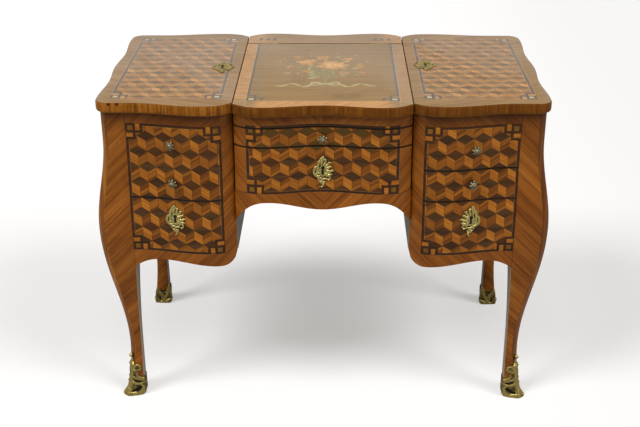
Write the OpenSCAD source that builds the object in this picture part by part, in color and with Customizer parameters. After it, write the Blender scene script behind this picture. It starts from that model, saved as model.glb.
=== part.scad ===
// Poudreuse: a dressing table with two side lids, a mirror flap, a writing slide and four drawers.
// Frame: X to the right, Y to the back, Z up; the origin is on the floor under the middle.

/* [Top] */
// Height to the top of the closed lids
height = 750; // [700:1:800]
// Width over the side edges of the closed lids
lid_w = 976; // [900:1:1050]
// Depth over the fullest points of the centre flap and the back strip
lid_d = 566; // [520:1:600]
// Thickness of the lids, the flap and the back strip
lid_t = 23; // [21:0.5:26]
// Radius of the rounded outer corners of the lids
corner_r = 28; // [15:1:40]
// How far the lids reach past the case
overhang = 9; // [8:0.5:14]
// Distance from the middle to each seam between flap and lid
seam_x = 192.5; // [180:0.5:200]
// Width of each open seam
seam_gap = 1.6; // [1:0.1:2.5]
// Depth of the back strip at its fullest
strip_d = 90; // [80:1:110]
// Clear space between a lid and the case edge under it
lid_gap = 0.3; // [0.2:0.1:0.6]

/* [Plan curves] */
// Distance from each seam to the fullest point of the centre curve
centre_full_in = 64.5; // [52:0.5:76]
// How far the centre curve swells past the middle
centre_swell = 15; // [8:0.5:20]
// Distance from each seam to the fullest point of the side curve
side_full_out = 69.5; // [58:0.5:80]
// Width of the straight part of the front beside each corner post
flat_w = 15; // [10:0.5:30]
// How far the front side curve swells past the straight part
swell_front = 22; // [12:0.5:26]
// The same swell at the back
swell_back = 14; // [8:0.5:20]
// How far the front side curve stays behind the centre curve
step_front = 6; // [2:0.5:8]
// The same step at the back
step_back = 3; // [0:0.5:8]
// How far the curves dip at each seam
seam_dip = 26; // [16:0.5:27]
// Depth of the waves along the side edges
side_wave = 6; // [0:0.5:8]
// Length of one wave along the side edges
side_wave_l = 210; // [180:1:240]

/* [Bombe shape] */
// Distance from the case's upper edge down to where it starts to swell
straight_h = 67; // [47:1:97]
// Height of the fullest part of the swell above the lower drawers' edge
belly_h = 52; // [30:1:76]
// Height of the narrowest part of the ankle
ankle_z = 130; // [110:1:150]
// Swell of the sides
belly_x = 24; // [12:1:28]
// Swell of the front and the back
belly_y = 12; // [6:1:16]
// How far the ankles draw in below the case, sideways
ankle_x = 18; // [10:1:22]
// How far the ankles draw in, front and back
ankle_y = 20; // [10:1:22]
// How far the toes turn out again
toe_out = 8; // [4:0.5:12]
// Width of the canted corners
cant = 12; // [6:0.5:16]

/* [Case] */
// Thickness of the front frame where it is straight
front_t = 16; // [14:0.5:20]
// Thickness of the back panel where it is straight
back_t = 21; // [18:0.5:26]
// Thickness of the bombe side panels at the top
side_t = 18; // [14:0.5:22]
// Thickness of the partitions beside the kneehole
partition_t = 16; // [12:0.5:20]
// Width of the inner stiles, from the seams
stile_w = 25.5; // [21:0.5:29]
// Width of the corner posts under the lids
post_w = 54; // [50:0.5:60]
// Depth of the front corner posts behind the straight front
post_front = 51; // [44:1:56]
// Depth of the back corner posts
post_back = 46; // [40:1:52]
// Distance from the lower drawers' edge down to where the legs leave the aprons
knee_h = 44; // [36:1:53]
// How far the inner edge of a leg draws outwards below the knee
knee_in = 8; // [0:1:10]
// Thickness of the well floors, dust boards and bottom boards
board_t = 8; // [6:0.5:10]
// Height of the left and right rails
rail_h = 25; // [21:1:29]

/* [Aprons] */
// Height of the side aprons at the inner stile
apron_h = 33; // [30:1:37]
// Height of the side aprons at their highest point
crest_h = 22; // [14:1:25]
// Distance from the corner posts to that highest point
crest_in = 75; // [60:1:90]
// Radius of the inner stile's rounded lower corner
stile_r = 32; // [24:1:33]
// Height of the centre apron in the middle
arch_h = 41; // [36:1:46]
// Height of the centre apron at its two crests
arch_crest_h = 20; // [15:1:27]
// Distance from each seam to the crest
arch_crest_in = 72.5; // [60:0.5:86]
// Height of the centre apron where it meets the inner stiles
arch_end_h = 71; // [61:1:81]

/* [Slide and drawers] */
// Height of the pedestal drawers at the bottom
low_h = 129; // [124:1:136]
// Height of the middle drawer
mid_h = 70; // [66:1:76]
// Height of the right false front
high_h = 100; // [94:1:106]
// Height of the centre drawer
centre_h = 105; // [100:1:115]
// Height of the writing slide's front
slide_h = 44; // [42:1:50]
// Height of the rail over the writing slide
top_rail_h = 27; // [25:1:31]
// Running gap round the moving fronts
front_gap = 1; // [0.6:0.1:1.6]
// Thickness of the writing slide's board
slide_t = 15; // [12:0.5:18]
// Depth of the writing slide's board
slide_l = 350; // [320:5:400]
// Free depth behind the drawer boxes
box_end = 36; // [30:1:60]
// Thickness of the drawer sides and backs
box_t = 10; // [8:0.5:12]
// Thickness of the drawer bottoms
bottom_t = 6; // [4:0.5:8]
// Height of the drawer bottoms above the lower edge of the drawer sides
bottom_rise = 4; // [3:0.5:6]
// Side play of the drawer boxes
box_gap = 1; // [0.6:0.1:2]
// Free height above the drawer boxes
box_head = 14; // [12:1:20]

/* [Mirror] */
// Width of the mirror frame
mirror_w = 332; // [300:2:350]
// Distance from the flap's hinge axis to the closed mirror frame
mirror_back = 27; // [20:1:60]
// Distance from the front frame to the closed mirror frame
mirror_in = 6; // [4:1:10]
// Thickness of the mirror frame
mirror_frame_t = 11; // [9:0.5:12]
// Width of the mirror frame's bars
mirror_bar = 18; // [14:1:24]
// Width of the lip that holds the glass
mirror_lip = 5; // [3:0.5:6]
// Thickness of the glass
glass_t = 4; // [3:0.5:5]

/* [Hardware] */
// Height of the lower drawers' keyholes above the drawers' lower edge
key_h = 85; // [77:1:92]
// Height of the centre drawer's keyhole above the drawer's lower edge
centre_key_h = 50; // [43:1:55]
// How far the pedestal keyholes and knobs stand outwards from the middle of their fronts
mount_out = 3.5; // [-6:0.5:12]
// Distance from each seam to the lid keyhole
lid_key_out = 43.5; // [42:0.5:48]
// Position of the left and the right lid keyhole along Y
lid_key_y = [3, 21]; // [-20:1:40]
// Radius of the round part of a keyhole
key_r = 2.6; // [2:0.1:3.2]
// Height of an escutcheon
plate_h = 72; // [60:1:80]
// Width of an escutcheon
plate_w = 44; // [36:1:50]
// Thickness of an escutcheon
plate_t = 1.8; // [1.2:0.1:2.5]
// Width of a lock case
lock_w = 46; // [40:1:52]
// Depth of a lock case
lock_t = 12; // [10:0.5:13]
// How far a drawer's lock case is let into the back of its front
lock_in = 2; // [1:0.5:3]
// Distance from a partition to the lid's lock case
lock_gap = 2; // [1:0.5:3]
// How far a lock case reaches past its keyhole
lock_drop = 18; // [14:1:22]
// Width of a lock bolt
bolt_w = 16; // [12:1:20]
// Thickness of a lock bolt
bolt_t = 5; // [4:0.5:6]
// Length of a lock bolt
bolt_l = 22; // [18:1:24]
// Travel of the drawer bolts
bolt_throw = 6; // [4:0.5:6.5]
// Travel of the lid bolts
lid_bolt_throw = 8; // [6:0.5:10]
// Radius of a knob
knob_r = 10; // [8:0.5:12]
// How far a knob stands out
knob_l = 17; // [14:0.5:20]
// Radius of a knob's stem
stem_r = 2; // [1.6:0.1:2.5]
// Length of a knob's stem inside the front
stem_l = 14; // [10:1:16]
// Height of the left false front's two knobs above its lower edge
left_knobs_h = [37, 123]; // [20:1:140]
// Height of the right false front's knob above its lower edge
right_knob_h = 44; // [36:1:60]
// Height of the middle drawer's knob above its lower edge
middle_knob_h = 35; // [26:1:44]
// Height of the writing slide's knob above its lower edge
slide_knob_h = 17; // [13:1:26]
// Thickness of a sabot's wall
sabot_t = 2.5; // [2:0.1:3.5]
// Height of a sabot at the outer corner of the leg
sabot_high = 120; // [100:1:128]
// Height of a sabot at the inner corner of the leg
sabot_low = 62; // [50:1:75]
// Thickness of a sabot's sole
sole_t = 3; // [2:0.5:5]
// How far a sabot's toe turns out past the leg
toe_flare = 10; // [4:0.5:14]

/* [Hinges] */
// Distance from the lids' side edges to their hinge axes
hinge_in = 5.5; // [5:0.5:6]
// Distance from the fullest point of the top to the middle of each lid hinge, along Y
hinge_end = 115; // [113:1:117]
// Distance from each seam to the middle of the flap hinge
flap_hinge_in = 52.5; // [28:0.5:82]
// Length of a hinge
hinge_l = 48; // [36:1:54]
// Width of a lid hinge's leaf on the case
leaf_w = 16; // [12:0.5:17]
// Width of the same hinge's leaf in the lid
lid_leaf_w = 24; // [18:0.5:26]
// Height of a flap hinge's leaf
flap_leaf_h = 16; // [12:0.5:18]
// Thickness of a hinge leaf
leaf_t = 1.6; // [1.2:0.1:2]
// Radius of a lid hinge's barrel
barrel_r = 2.3; // [2.2:0.1:2.5]
// Radius of a flap hinge's barrel, and depth of its axis under the top
flap_barrel_r = 2.2; // [2:0.1:2.6]
// Radius of a hinge pin
pin_r = 1.1; // [0.9:0.05:1.2]
// Radial clearance of a hinge pin in its bore
pin_gap = 0.05; // [0.03:0.01:0.09]

/* [Hidden] */

VENEER = "#a8672f";
DARK_VENEER = "#6b3f22";
OAK = "#b58a58";
GREY_PAINT = "#7f8575";
BRASS = "#b79a52";
STEEL = "#7c7c7a";
SILVER = "#cfd6d8";

front = -1;
back = 1;
left = -1;
right = 1;
// Clearance between pieces that are fixed to each other
fit = 0.1;
// Wall of a lock case behind its bolt
lock_wall = 1.5;
// Clearance round a bolt inside its lock
slip = 0.3;
// Clearance round a bolt in the mortise that it enters
mortise_gap = 0.5;
// Clearance between a metal mount and the curved front behind it
seat = 0.3;
// Clearance round a hinge barrel
barrel_gap = 0.3;
// Half of the joint between the flap and the back strip
leaf_gap = 0.4;
// How far the hollow beside the flap reaches past the flap's swinging edge
cove = 0.6;
$fn = 48;

half_w = lid_w / 2;
half_d = lid_d / 2;
case_top = height - lid_t;

// Heights, from the top downwards
rail_z = case_top - rail_h;
high_z = rail_z - high_h;
mid_z = high_z - mid_h;
low_z = mid_z - low_h;
slide_top = case_top - top_rail_h;
slide_z = slide_top - slide_h;
centre_z = slide_z - centre_h;
straight_z = case_top - straight_h;
belly_z = low_z + belly_h;
knee_z = low_z - knee_h;
apron_low = low_z - apron_h;
apron_high = low_z - crest_h;
arch_low = centre_z - arch_h;
arch_high = centre_z - arch_crest_h;
arch_end = centre_z - arch_end_h;
dust_z = slide_z + front_gap;
// Height of the underside of the board over the lower drawers
mid_board_z = mid_z - board_t;

// Distances from the middle along X
seam_in = seam_x - seam_gap / 2;
seam_out = seam_x + seam_gap / 2;
centre_full = seam_x - centre_full_in;
side_full = seam_x + side_full_out;
arch_crest = seam_x - arch_crest_in;
partition_out = seam_x + partition_t;
panel_in = seam_x + stile_w;
panel_out = half_w - overhang - post_w;
flat_x = panel_out - flat_w;
apron_crest = panel_out - crest_in;
side_in = half_w - overhang - side_t;
hinge_x = half_w - hinge_in;
flap_hinge_x = seam_x - flap_hinge_in;

// Distances from the middle along Y
flat_front = half_d - step_front - swell_front - overhang;
flat_back = half_d - step_back - swell_back - overhang;
front_in = flat_front - front_t;
back_in = flat_back - back_t;
post_in_front = flat_front - post_front;
post_in_back = flat_back - post_back;
hinge_y = half_d - hinge_end;
box_l = front_in + back_in - box_end;

// Mirror flap
flap_axis_y = half_d - strip_d;
flap_axis_z = height - flap_barrel_r;
mirror_y = -front_in + mirror_in;
mirror_h = flap_axis_y - mirror_back - mirror_y;

// Lid hinges, locks and knobs
lid_axis_z = case_top + leaf_t + lid_gap / 2;
mount_x = (panel_in + panel_out) / 2 + mount_out;
key_z = low_z + key_h;
centre_key_z = centre_z + centre_key_h;
lid_key_x = seam_x + lid_key_out;
lid_lock_x = partition_out + lock_gap;
lid_bolt_z = case_top + lid_gap - lock_t / 2 - bolt_t / 2;
bolt_y = -front_in - lock_in + lock_t - lock_wall - bolt_t;
pedestal_lock_top = mid_board_z - front_gap;
centre_lock_top = slide_z - front_gap / 2;
left_knob_z = [for (h = left_knobs_h) mid_z + h];
right_knob_z = high_z + right_knob_h;
middle_knob_z = mid_z + middle_knob_h;
slide_knob_z = slide_z + slide_knob_h;

// ---------------------------------------------------------------- shape of the top and the case

// A smooth step from 0 to 1
function ease(t) = (1 - cos(180 * max(0, min(1, t)))) / 2;

// Distance from the middle to the front or back edge of the top at x
function edge_y(x, f) =
    let (a = abs(x),
         swell = f == front ? swell_front : swell_back,
         full = half_d - (f == front ? step_front : step_back))
    a < centre_full ? half_d - centre_swell * (1 - ease(a / centre_full))
    : a < seam_x ? half_d - seam_dip * pow((a - centre_full) / (seam_x - centre_full), 2.5)
    : a < side_full ? full - seam_dip * pow((side_full - a) / (side_full - seam_x), 3)
    : full - swell * ease((a - side_full) / (flat_x - side_full));

// Distance from the middle to the side edge of the top at y
function edge_x(y) = half_w - side_wave * (1 - cos(360 * y / side_wave_l)) / 2;

// How far the case stands out at height z, past its outline under the lids
function belly(z, out, in) =
    z >= straight_z ? 0
    : z >= belly_z ? out * ease((straight_z - z) / (straight_z - belly_z))
    : z >= ankle_z ? out - (out + in) * ease((belly_z - z) / (belly_z - ankle_z))
    : toe_out * ease((ankle_z - z) / ankle_z) - in;

// Distance from the middle to the case's front, back and side faces
function case_y(x, z, f) = edge_y(x, f) - overhang + belly(z, belly_y, ankle_y);
function case_x(y, z) = edge_x(y) - overhang + belly(z, belly_x, ankle_x);

// Lower edge of the pedestals, from the rounded stile to the leg
pedestal_low = function(a)
    let (round_x = seam_x + stile_r)
    a < round_x ? apron_low + stile_r - sqrt(max(0, pow(stile_r, 2) - pow(round_x - a, 2)))
    : a < apron_crest ? apron_low + (apron_high - apron_low) * ease((a - round_x) / (apron_crest - round_x))
    : apron_high - (apron_high - knee_z) * pow((a - apron_crest) / (panel_out - apron_crest), 2.6);

// Lower edge of the centre apron
function arch(a) =
    a < arch_crest ? arch_low + (arch_high - arch_low) * ease(a / arch_crest)
    : arch_high - (arch_high - arch_end) * pow((a - arch_crest) / (seam_x - arch_crest), 2.6);

// Lower edge of the side panels, between the front and back legs
function side_low(y) =
    let (middle = (post_in_back - post_in_front) / 2, half = (post_in_back + post_in_front) / 2)
    apron_high - (apron_high - knee_z) * pow(abs(y - middle) / half, 2.6);

function level(z) = function(u) z;

// ---------------------------------------------------------------- solids from curves

// Evenly spaced values from a to b
function steps(a, b, n) = [for (i = [0 : n]) a + (b - a) * i / n];

// A panel whose outer face follows outer(u, z) and whose inner face lies at inner.
// place(u, w, z) puts a point that is w away from the middle; flip turns mirrored panels right.
module panel(us, nz, low, top, outer, inner, place, flip) {
    n = len(us) - 1;
    m = nz + 1;
    skin = [for (u = us) for (j = [0 : nz]) let (z = low(u) + (top - low(u)) * j / nz) place(u, outer(u, z), z)];
    rear = [for (u = us) each [place(u, inner, low(u)), place(u, inner, top)]];
    b = len(skin);
    function quad(p, q, r, t) = [[p, q, r], [p, r, t]];
    faces = [
        for (i = [0 : n - 1]) each [
            for (j = [0 : nz - 1]) each quad(i * m + j, i * m + j + 1, (i + 1) * m + j + 1, (i + 1) * m + j),
            each quad(i * m, (i + 1) * m, b + 2 * i + 2, b + 2 * i),
            each quad(b + 2 * i, b + 2 * i + 2, b + 2 * i + 3, b + 2 * i + 1),
            each quad(b + 2 * i + 1, b + 2 * i + 3, (i + 1) * m + nz, i * m + nz)],
        for (j = [0 : nz - 1]) each [[b, j + 1, j], [b + 2 * n, n * m + j, n * m + j + 1]],
        [b, b + 1, nz],
        [b + 2 * n, n * m + nz, b + 2 * n + 1]
    ];
    polyhedron(
        points = concat(skin, rear),
        faces = flip ? [for (face = faces) [face[2], face[1], face[0]]] : faces,
        convexity = 6);
}

// A front or back panel through the positions xs
module front_panel(xs, low, top, nz, f = front) {
    panel(xs, nz, low, top, function(x, z) case_y(x, z, f), f == front ? front_in : back_in,
        function(u, w, z) [u, f * w, z], f == back);
}

// A panel of the left or right pedestal's front, from x0 out to x1
module pedestal_panel(s, x0, x1, low, top, nu, nz) {
    front_panel(s == left ? steps(-x1, -x0, nu) : steps(x0, x1, nu), function(x) low(abs(x)), top, nz);
}

// A solid through rings of points, all with the same number of points and seen anticlockwise from above
module loft(rings) {
    n = len(rings[0]);
    m = len(rings);
    faces = [
        for (k = [0 : m - 2], i = [0 : n - 1]) let (j = (i + 1) % n) each
            [[k * n + i, (k + 1) * n + i, (k + 1) * n + j], [k * n + i, (k + 1) * n + j, k * n + j]],
        for (i = [1 : n - 2]) [0, i, i + 1],
        for (i = [1 : n - 2]) [(m - 1) * n, (m - 1) * n + i + 1, (m - 1) * n + i]
    ];
    polyhedron(points = [for (ring = rings) each ring], faces = faces, convexity = 6);
}

// Moves to the point (x, z) of the front, with -Y along the outward normal there
module on_front(x, z) {
    d = 1;
    yaw = atan2(case_y(x + d, z, front) - case_y(x - d, z, front), 2 * d);
    tilt = atan2(case_y(x, z - d, front) - case_y(x, z + d, front), 2 * d);
    translate([x, -case_y(x, z, front), z])
        rotate([0, 0, -yaw])
            rotate([-tilt, 0, 0])
                children();
}

// A cylinder along Y, from y = start towards -Y
module rod(r, l, start = 0) {
    translate([0, start, 0])
        rotate([90, 0, 0])
            cylinder(r = r, h = l);
}

// ---------------------------------------------------------------- legs and sabots

// Inner edge of a leg, along X
function leg_in(z) =
    z >= knee_z ? panel_out : panel_out + knee_in * (1 - pow(1 - min(1, (knee_z - z) / (knee_z - ankle_z)), 2));

// Section of a leg at the heights zs, one for each of its five corners, grown by g all round
function leg_ring(s, f, zs, g = 0) =
    let (in_y = f == front ? post_in_front : post_in_back,
         y = [for (z = zs) case_y(flat_x, z, f)],
         x_in = case_x(in_y, zs[1]),
         x_out = case_x(y[2] - cant, zs[2]),
         points = [
            [leg_in(zs[0]) - g, in_y - g],
            [x_in + g, in_y - g],
            [x_out + g, y[2] - cant + g / 2],
            [case_x(y[3], zs[3]) - cant + g / 2, y[3] + g],
            [leg_in(zs[4]) - g, y[4] + g]],
         order = s * f > 0 ? [0 : 4] : [4 : -1 : 0])
    [for (i = order) [s * points[i][0], f * points[i][1], zs[i]]];

// A leg from the sole to the lids, grown by g all round
module leg_solid(s, f, g) {
    foot = steps(sole_t, ankle_z, 13);
    zs = concat([for (i = [0 : 12]) foot[i]], steps(ankle_z, case_top, 20));
    loft([for (z = zs) leg_ring(s, f, [for (i = [0 : 4]) z], g)]);
}

module leg(s, f) {
    color(VENEER)
        leg_solid(s, f, 0);
}

// Height of a sabot's top edge at each of the leg's five corners
function sabot_top() =
    [sabot_low, (sabot_low + sabot_high) / 2, sabot_high, sabot_high, (sabot_low + sabot_high) / 2];

// A sabot's ring at the share t of its height, with the toe turned out near the floor
function sabot_ring(s, f, t) =
    let (flare = toe_flare * pow(1 - t, 6),
         zs = [for (top = sabot_top()) sole_t + (top - sole_t) * t])
    [for (p = leg_ring(s, f, zs, sabot_t)) [p[0] + s * flare, p[1] + f * flare * 0.6, p[2]]];

module sabot(s, f) {
    n = 10;
    outer = [for (k = [0 : n]) sabot_ring(s, f, k / n)];
    sole = [for (p = outer[0]) [p[0], p[1], 0]];
    color(BRASS)
        difference() {
            loft(concat([sole], outer));
            leg_solid(s, f, fit);
        }
}

// ---------------------------------------------------------------- case

module side_panel(s) {
    color(VENEER)
        panel(steps(-post_in_front, post_in_back, 16), 10, function(y) side_low(y), case_top,
            function(y, z) case_x(y, z), side_in, function(u, w, z) [s * w, u, z], s == left);
}

// The back panel's lower edge steps down beside each seam, where the kneehole ends
module back_panel() {
    low = function(x) abs(x) < seam_x ? arch(abs(x)) : pedestal_low(abs(x));
    n = 14;
    pedestal = steps(seam_x, panel_out, n);
    xs = concat([for (i = [n : -1 : 0]) -pedestal[i]], steps(-seam_x + fit, seam_x - fit, 24), pedestal);
    color(VENEER)
        front_panel(xs, low, case_top, 7, back);
}

module partition(s) {
    x = s == right ? seam_x : -partition_out;
    color(GREY_PAINT)
        difference() {
            translate([x, -front_in, low_z - board_t])
                cube([partition_t, front_in + back_in, case_top - low_z + board_t]);
            mirrored(s)
                translate([-lid_bolt_throw, 0, 0])
                    lid_bolt_room(s, mortise_gap);
        }
}

module inner_stile(s) {
    color(VENEER)
        pedestal_panel(s, seam_x, panel_in, pedestal_low, case_top, 6, 10);
}

module side_aprons() {
    color(VENEER)
        for (s = [left, right])
            pedestal_panel(s, panel_in, panel_out, pedestal_low, low_z, 16, 2);
}

module centre_apron() {
    color(VENEER)
        front_panel(steps(-seam_x + fit, seam_x - fit, 32), function(x) arch(abs(x)), centre_z, 3);
}

module side_top_rails() {
    color(VENEER)
        for (s = [left, right])
            pedestal_panel(s, panel_in, panel_out, level(rail_z), case_top, 14, 1);
}

module centre_top_rail() {
    color(VENEER)
        front_panel(steps(-seam_x + fit, seam_x - fit, 28), level(slide_top), case_top, 1);
}

module false_front(s) {
    z = s == left ? mid_z : high_z;
    knobs = s == left ? left_knob_z : [right_knob_z];
    color(DARK_VENEER)
        difference() {
            pedestal_panel(s, panel_in + fit, panel_out - fit, level(z), rail_z - fit, 14, s == left ? 5 : 3);
            for (knob_z = knobs)
                on_front(s * mount_x, knob_z)
                    knob_hole();
        }
}

// A board that fills a pedestal from wall to wall, notched for the corner posts
module pedestal_board(s, z) {
    color(OAK)
        mirrored(s)
            translate([0, 0, z])
                linear_extrude(board_t)
                    polygon([
                        [partition_out, -front_in + front_gap / 2],
                        [panel_out, -front_in + front_gap / 2],
                        [panel_out, -post_in_front],
                        [side_in, -post_in_front],
                        [side_in, post_in_back],
                        [panel_out, post_in_back],
                        [panel_out, back_in],
                        [partition_out, back_in]]);
}

// The board over a lower drawer, with the mortise for the drawer's bolt
module locking_board(s) {
    color(OAK)
        difference() {
            pedestal_board(s, mid_board_z);
            bolt_mortise(s * mount_x, mid_board_z);
        }
}

// A board between the two partitions
module centre_board(z) {
    color(OAK)
        translate([-seam_x, -front_in + front_gap / 2, z])
            cube([2 * seam_x, front_in + back_in - front_gap / 2, board_t]);
}

module mirrored(s) {
    scale_x = s == left ? 1 : 0;
    mirror([scale_x, 0, 0])
        children();
}

// ---------------------------------------------------------------- top

function arc(cx, cy, rx, ry, from, to) =
    [for (k = [0 : 6]) let (a = from + (to - from) * k / 6) [cx + rx * cos(a), cy + ry * sin(a)]];

// Outline of the right lid, anticlockwise from the front of its seam
function lid_outline() =
    let (n = 36,
         x_c = half_w - corner_r,
         y_f = edge_y(flat_x, front) - corner_r,
         y_b = edge_y(flat_x, back) - corner_r,
         xs = [for (i = [0 : n - 1]) seam_out + (x_c - seam_out) * i / n],
         ys = [for (i = [1 : n - 1]) -y_f + (y_f + y_b) * i / n])
    concat(
        [for (x = xs) [x, -edge_y(x, front)]],
        arc(x_c, -y_f, edge_x(y_f) - x_c, corner_r, -90, 0),
        [for (y = ys) [edge_x(y), y]],
        arc(x_c, y_b, edge_x(y_b) - x_c, corner_r, 0, 90),
        [for (i = [n - 1 : -1 : 0]) [xs[i], edge_y(xs[i], back)]]);

// Room for a hinge barrel along Y
module barrel_room(r) {
    translate([0, -hinge_l / 2 - barrel_gap, 0])
        rotate([-90, 0, 0])
            cylinder(r = r + barrel_gap, h = hinge_l + 2 * barrel_gap);
}

module lid(s) {
    color(VENEER)
        mirrored(s)
            difference() {
                translate([0, 0, case_top + lid_gap])
                    linear_extrude(lid_t - lid_gap)
                        polygon(lid_outline());
                for (e = [-1, 1])
                    translate([hinge_x, e * hinge_y, lid_axis_z]) {
                        barrel_room(barrel_r);
                        translate([-lid_leaf_w - fit, -hinge_l / 2 - fit, -lid_gap - leaf_t])
                            cube([lid_leaf_w + fit, hinge_l + 2 * fit, 1.5 * lid_gap + 2 * leaf_t + fit]);
                    }
                translate([lid_key_x, lid_key(s), case_top])
                    cylinder(r = key_r, h = lid_t + 1);
            }
}

module mirror_flap() {
    n = 44;
    xs = [for (i = [0 : n]) -seam_in + 2 * seam_in * i / n];
    rear = flap_axis_y - leaf_gap;
    color(VENEER)
        difference() {
            translate([0, 0, case_top + lid_gap])
                linear_extrude(lid_t - lid_gap)
                    polygon(concat([for (x = xs) [x, -edge_y(x, front)]], [[seam_in, rear], [-seam_in, rear]]));
            at_flap_hinges() {
                barrel_room(flap_barrel_r);
                flap_leaf_room(-1);
            }
        }
}

module back_strip() {
    n = 44;
    hollow = flap_barrel_r * sqrt(2) + cove;
    xs = [for (i = [n : -1 : 0]) -seam_in + 2 * seam_in * i / n];
    near = flap_axis_y + leaf_gap;
    color(VENEER)
        difference() {
            translate([0, 0, case_top])
                linear_extrude(lid_t)
                    polygon(concat([[-seam_in, near], [seam_in, near]], [for (x = xs) [x, edge_y(x, back)]]));
            translate([-half_w, flap_axis_y, flap_axis_z])
                rotate([0, 90, 0])
                    cylinder(r = hollow, h = lid_w);
            at_flap_hinges()
                flap_leaf_room(1);
        }
}

// ---------------------------------------------------------------- hinges

module at_flap_hinges() {
    for (e = [-1, 1])
        translate([e * flap_hinge_x, flap_axis_y, flap_axis_z])
            rotate([0, 0, -90])
                children();
}

// Knuckles of a hinge along Y: the two outer ones with the pin, or the middle one with its bore
module outer_knuckles(r) {
    third = hinge_l / 3;
    rotate([-90, 0, 0]) {
        for (start = [-hinge_l / 2, third / 2 + fit])
            translate([0, 0, start])
                cylinder(r = r, h = third - fit);
        translate([0, 0, -hinge_l / 2])
            cylinder(r = pin_r, h = hinge_l);
    }
}

module middle_knuckle(r) {
    third = hinge_l / 3;
    rotate([-90, 0, 0])
        translate([0, 0, -third / 2 + fit])
            cylinder(r = r, h = third - 2 * fit);
}

// A leaf plate with its knuckles' places cut free; outer is true for the leaf that holds the pin
module leaf(size, at, r, outer) {
    third = hinge_l / 3;
    room = r + barrel_gap;
    difference() {
        union() {
            translate(at)
                cube(size);
            if (outer)
                outer_knuckles(r);
            else
                middle_knuckle(r);
        }
        if (outer)
            translate([-room, -third / 2 - fit, -room])
                difference() {
                    cube([2 * room, third + 2 * fit, 2 * room]);
                    translate([room, -1, room])
                        rotate([-90, 0, 0])
                            cylinder(r = pin_r, h = third + 2);
                }
        else {
            for (start = [-hinge_l / 2 - 1, third / 2 - fit])
                translate([-room, start, -room])
                    cube([2 * room, third + 1 + fit, 2 * room]);
            translate([0, -hinge_l / 2, 0])
                rotate([-90, 0, 0])
                    cylinder(r = pin_r + pin_gap, h = hinge_l);
        }
    }
}

module lid_hinge_leaves(s) {
    color(BRASS)
        mirrored(s)
            for (e = [-1, 1])
                translate([hinge_x, e * hinge_y, lid_axis_z])
                    leaf([lid_leaf_w, hinge_l, leaf_t], [-lid_leaf_w, -hinge_l / 2, lid_gap / 2], barrel_r, false);
}

module case_lid_leaves(s) {
    mirrored(s)
        for (e = [-1, 1])
            translate([hinge_x, e * hinge_y, lid_axis_z])
                leaf([leaf_w, hinge_l, leaf_t], [-leaf_w, -hinge_l / 2, -lid_gap / 2 - leaf_t], barrel_r, true);
}

// In the flap's hinges, X points forwards along the flap (-Y of the table)
module flap_leaf(e) {
    x = e < 0 ? leaf_gap : -leaf_gap - leaf_t;
    leaf([leaf_t, hinge_l, flap_leaf_h], [x, -hinge_l / 2, -flap_leaf_h], flap_barrel_r, e > 0);
}

module flap_leaf_room(e) {
    x = e < 0 ? leaf_gap - 1 : -leaf_gap - leaf_t - fit;
    translate([x, -hinge_l / 2 - fit, -flap_leaf_h - fit])
        cube([leaf_t + fit + 1, hinge_l + 2 * fit, flap_leaf_h + flap_barrel_r]);
}

module flap_hinge_leaves() {
    color(BRASS)
        at_flap_hinges()
            flap_leaf(-1);
}

module case_hinge_leaves() {
    color(BRASS) {
        case_lid_leaves(left);
        case_lid_leaves(right);
        at_flap_hinges()
            flap_leaf(1);
    }
}

// ---------------------------------------------------------------- mirror

module mirror_frame() {
    z = case_top + lid_gap - mirror_frame_t;
    color(OAK)
        difference() {
            translate([-mirror_w / 2, mirror_y, z])
                cube([mirror_w, mirror_h, mirror_frame_t]);
            translate([-mirror_w / 2 + mirror_bar, mirror_y + mirror_bar, z - 1])
                cube([mirror_w - 2 * mirror_bar, mirror_h - 2 * mirror_bar, mirror_frame_t + 2]);
            translate([0, 0, case_top + lid_gap - glass_t - fit])
                mirror_plate(mirror_bar - mirror_lip, glass_t + 1);
        }
}

// A plate inside the mirror frame, its edge a given distance in from the frame's outer edge
module mirror_plate(inset, t) {
    translate([-mirror_w / 2 + inset, mirror_y + inset, 0])
        cube([mirror_w - 2 * inset, mirror_h - 2 * inset, t]);
}

module mirror_glass() {
    color(SILVER)
        translate([0, 0, case_top + lid_gap - glass_t])
            mirror_plate(mirror_bar - mirror_lip + fit, glass_t);
}

// ---------------------------------------------------------------- locks and knobs

// Room of a drawer's lock case, which is let into the back of the front
module lock_room(x, key, top, g) {
    translate([x - lock_w / 2 - g, -front_in - lock_in - g, key - lock_drop - g])
        cube([lock_w + 2 * g, lock_t + 2 * g, top - key + lock_drop + 2 * g]);
}

module bolt_room(x, top, g) {
    translate([x - bolt_w / 2 - g, bolt_y - g, top - bolt_l - g])
        cube([bolt_w + 2 * g, bolt_t + 2 * g, bolt_l + 2 * g]);
}

// Mortise for a drawer bolt in the board whose underside is at z
module bolt_mortise(x, z) {
    translate([0, 0, bolt_throw - mortise_gap])
        bolt_room(x, z, mortise_gap);
}

// Distance of an escutcheon from the front at its middle, so that its edges clear a hollow front
function plate_seat(x, z) =
    let (half = plate_w / 2)
    seat + max(0, (case_y(x - half, z, front) + case_y(x + half, z, front)) / 2 - case_y(x, z, front));

// A drawer lock: the escutcheon outside and the lock case inside, under the height top
module drawer_lock(x, key, top) {
    color(BRASS)
        on_front(x, key)
            translate([0, -plate_seat(x, key), 0])
                rotate([90, 0, 0])
                    linear_extrude(plate_t)
                        escutcheon();
    color(STEEL)
        difference() {
            lock_room(x, key, top, -fit);
            bolt_room(x, top, slip - fit);
            on_front(x, key)
                rod(key_r, 2 * front_in, case_y(x, key, front) - front_in + lock_t / 3);
        }
}

module drawer_bolt(x, top) {
    color(STEEL)
        translate([0, 0, -slip])
            bolt_room(x, top, -fit);
}

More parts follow.
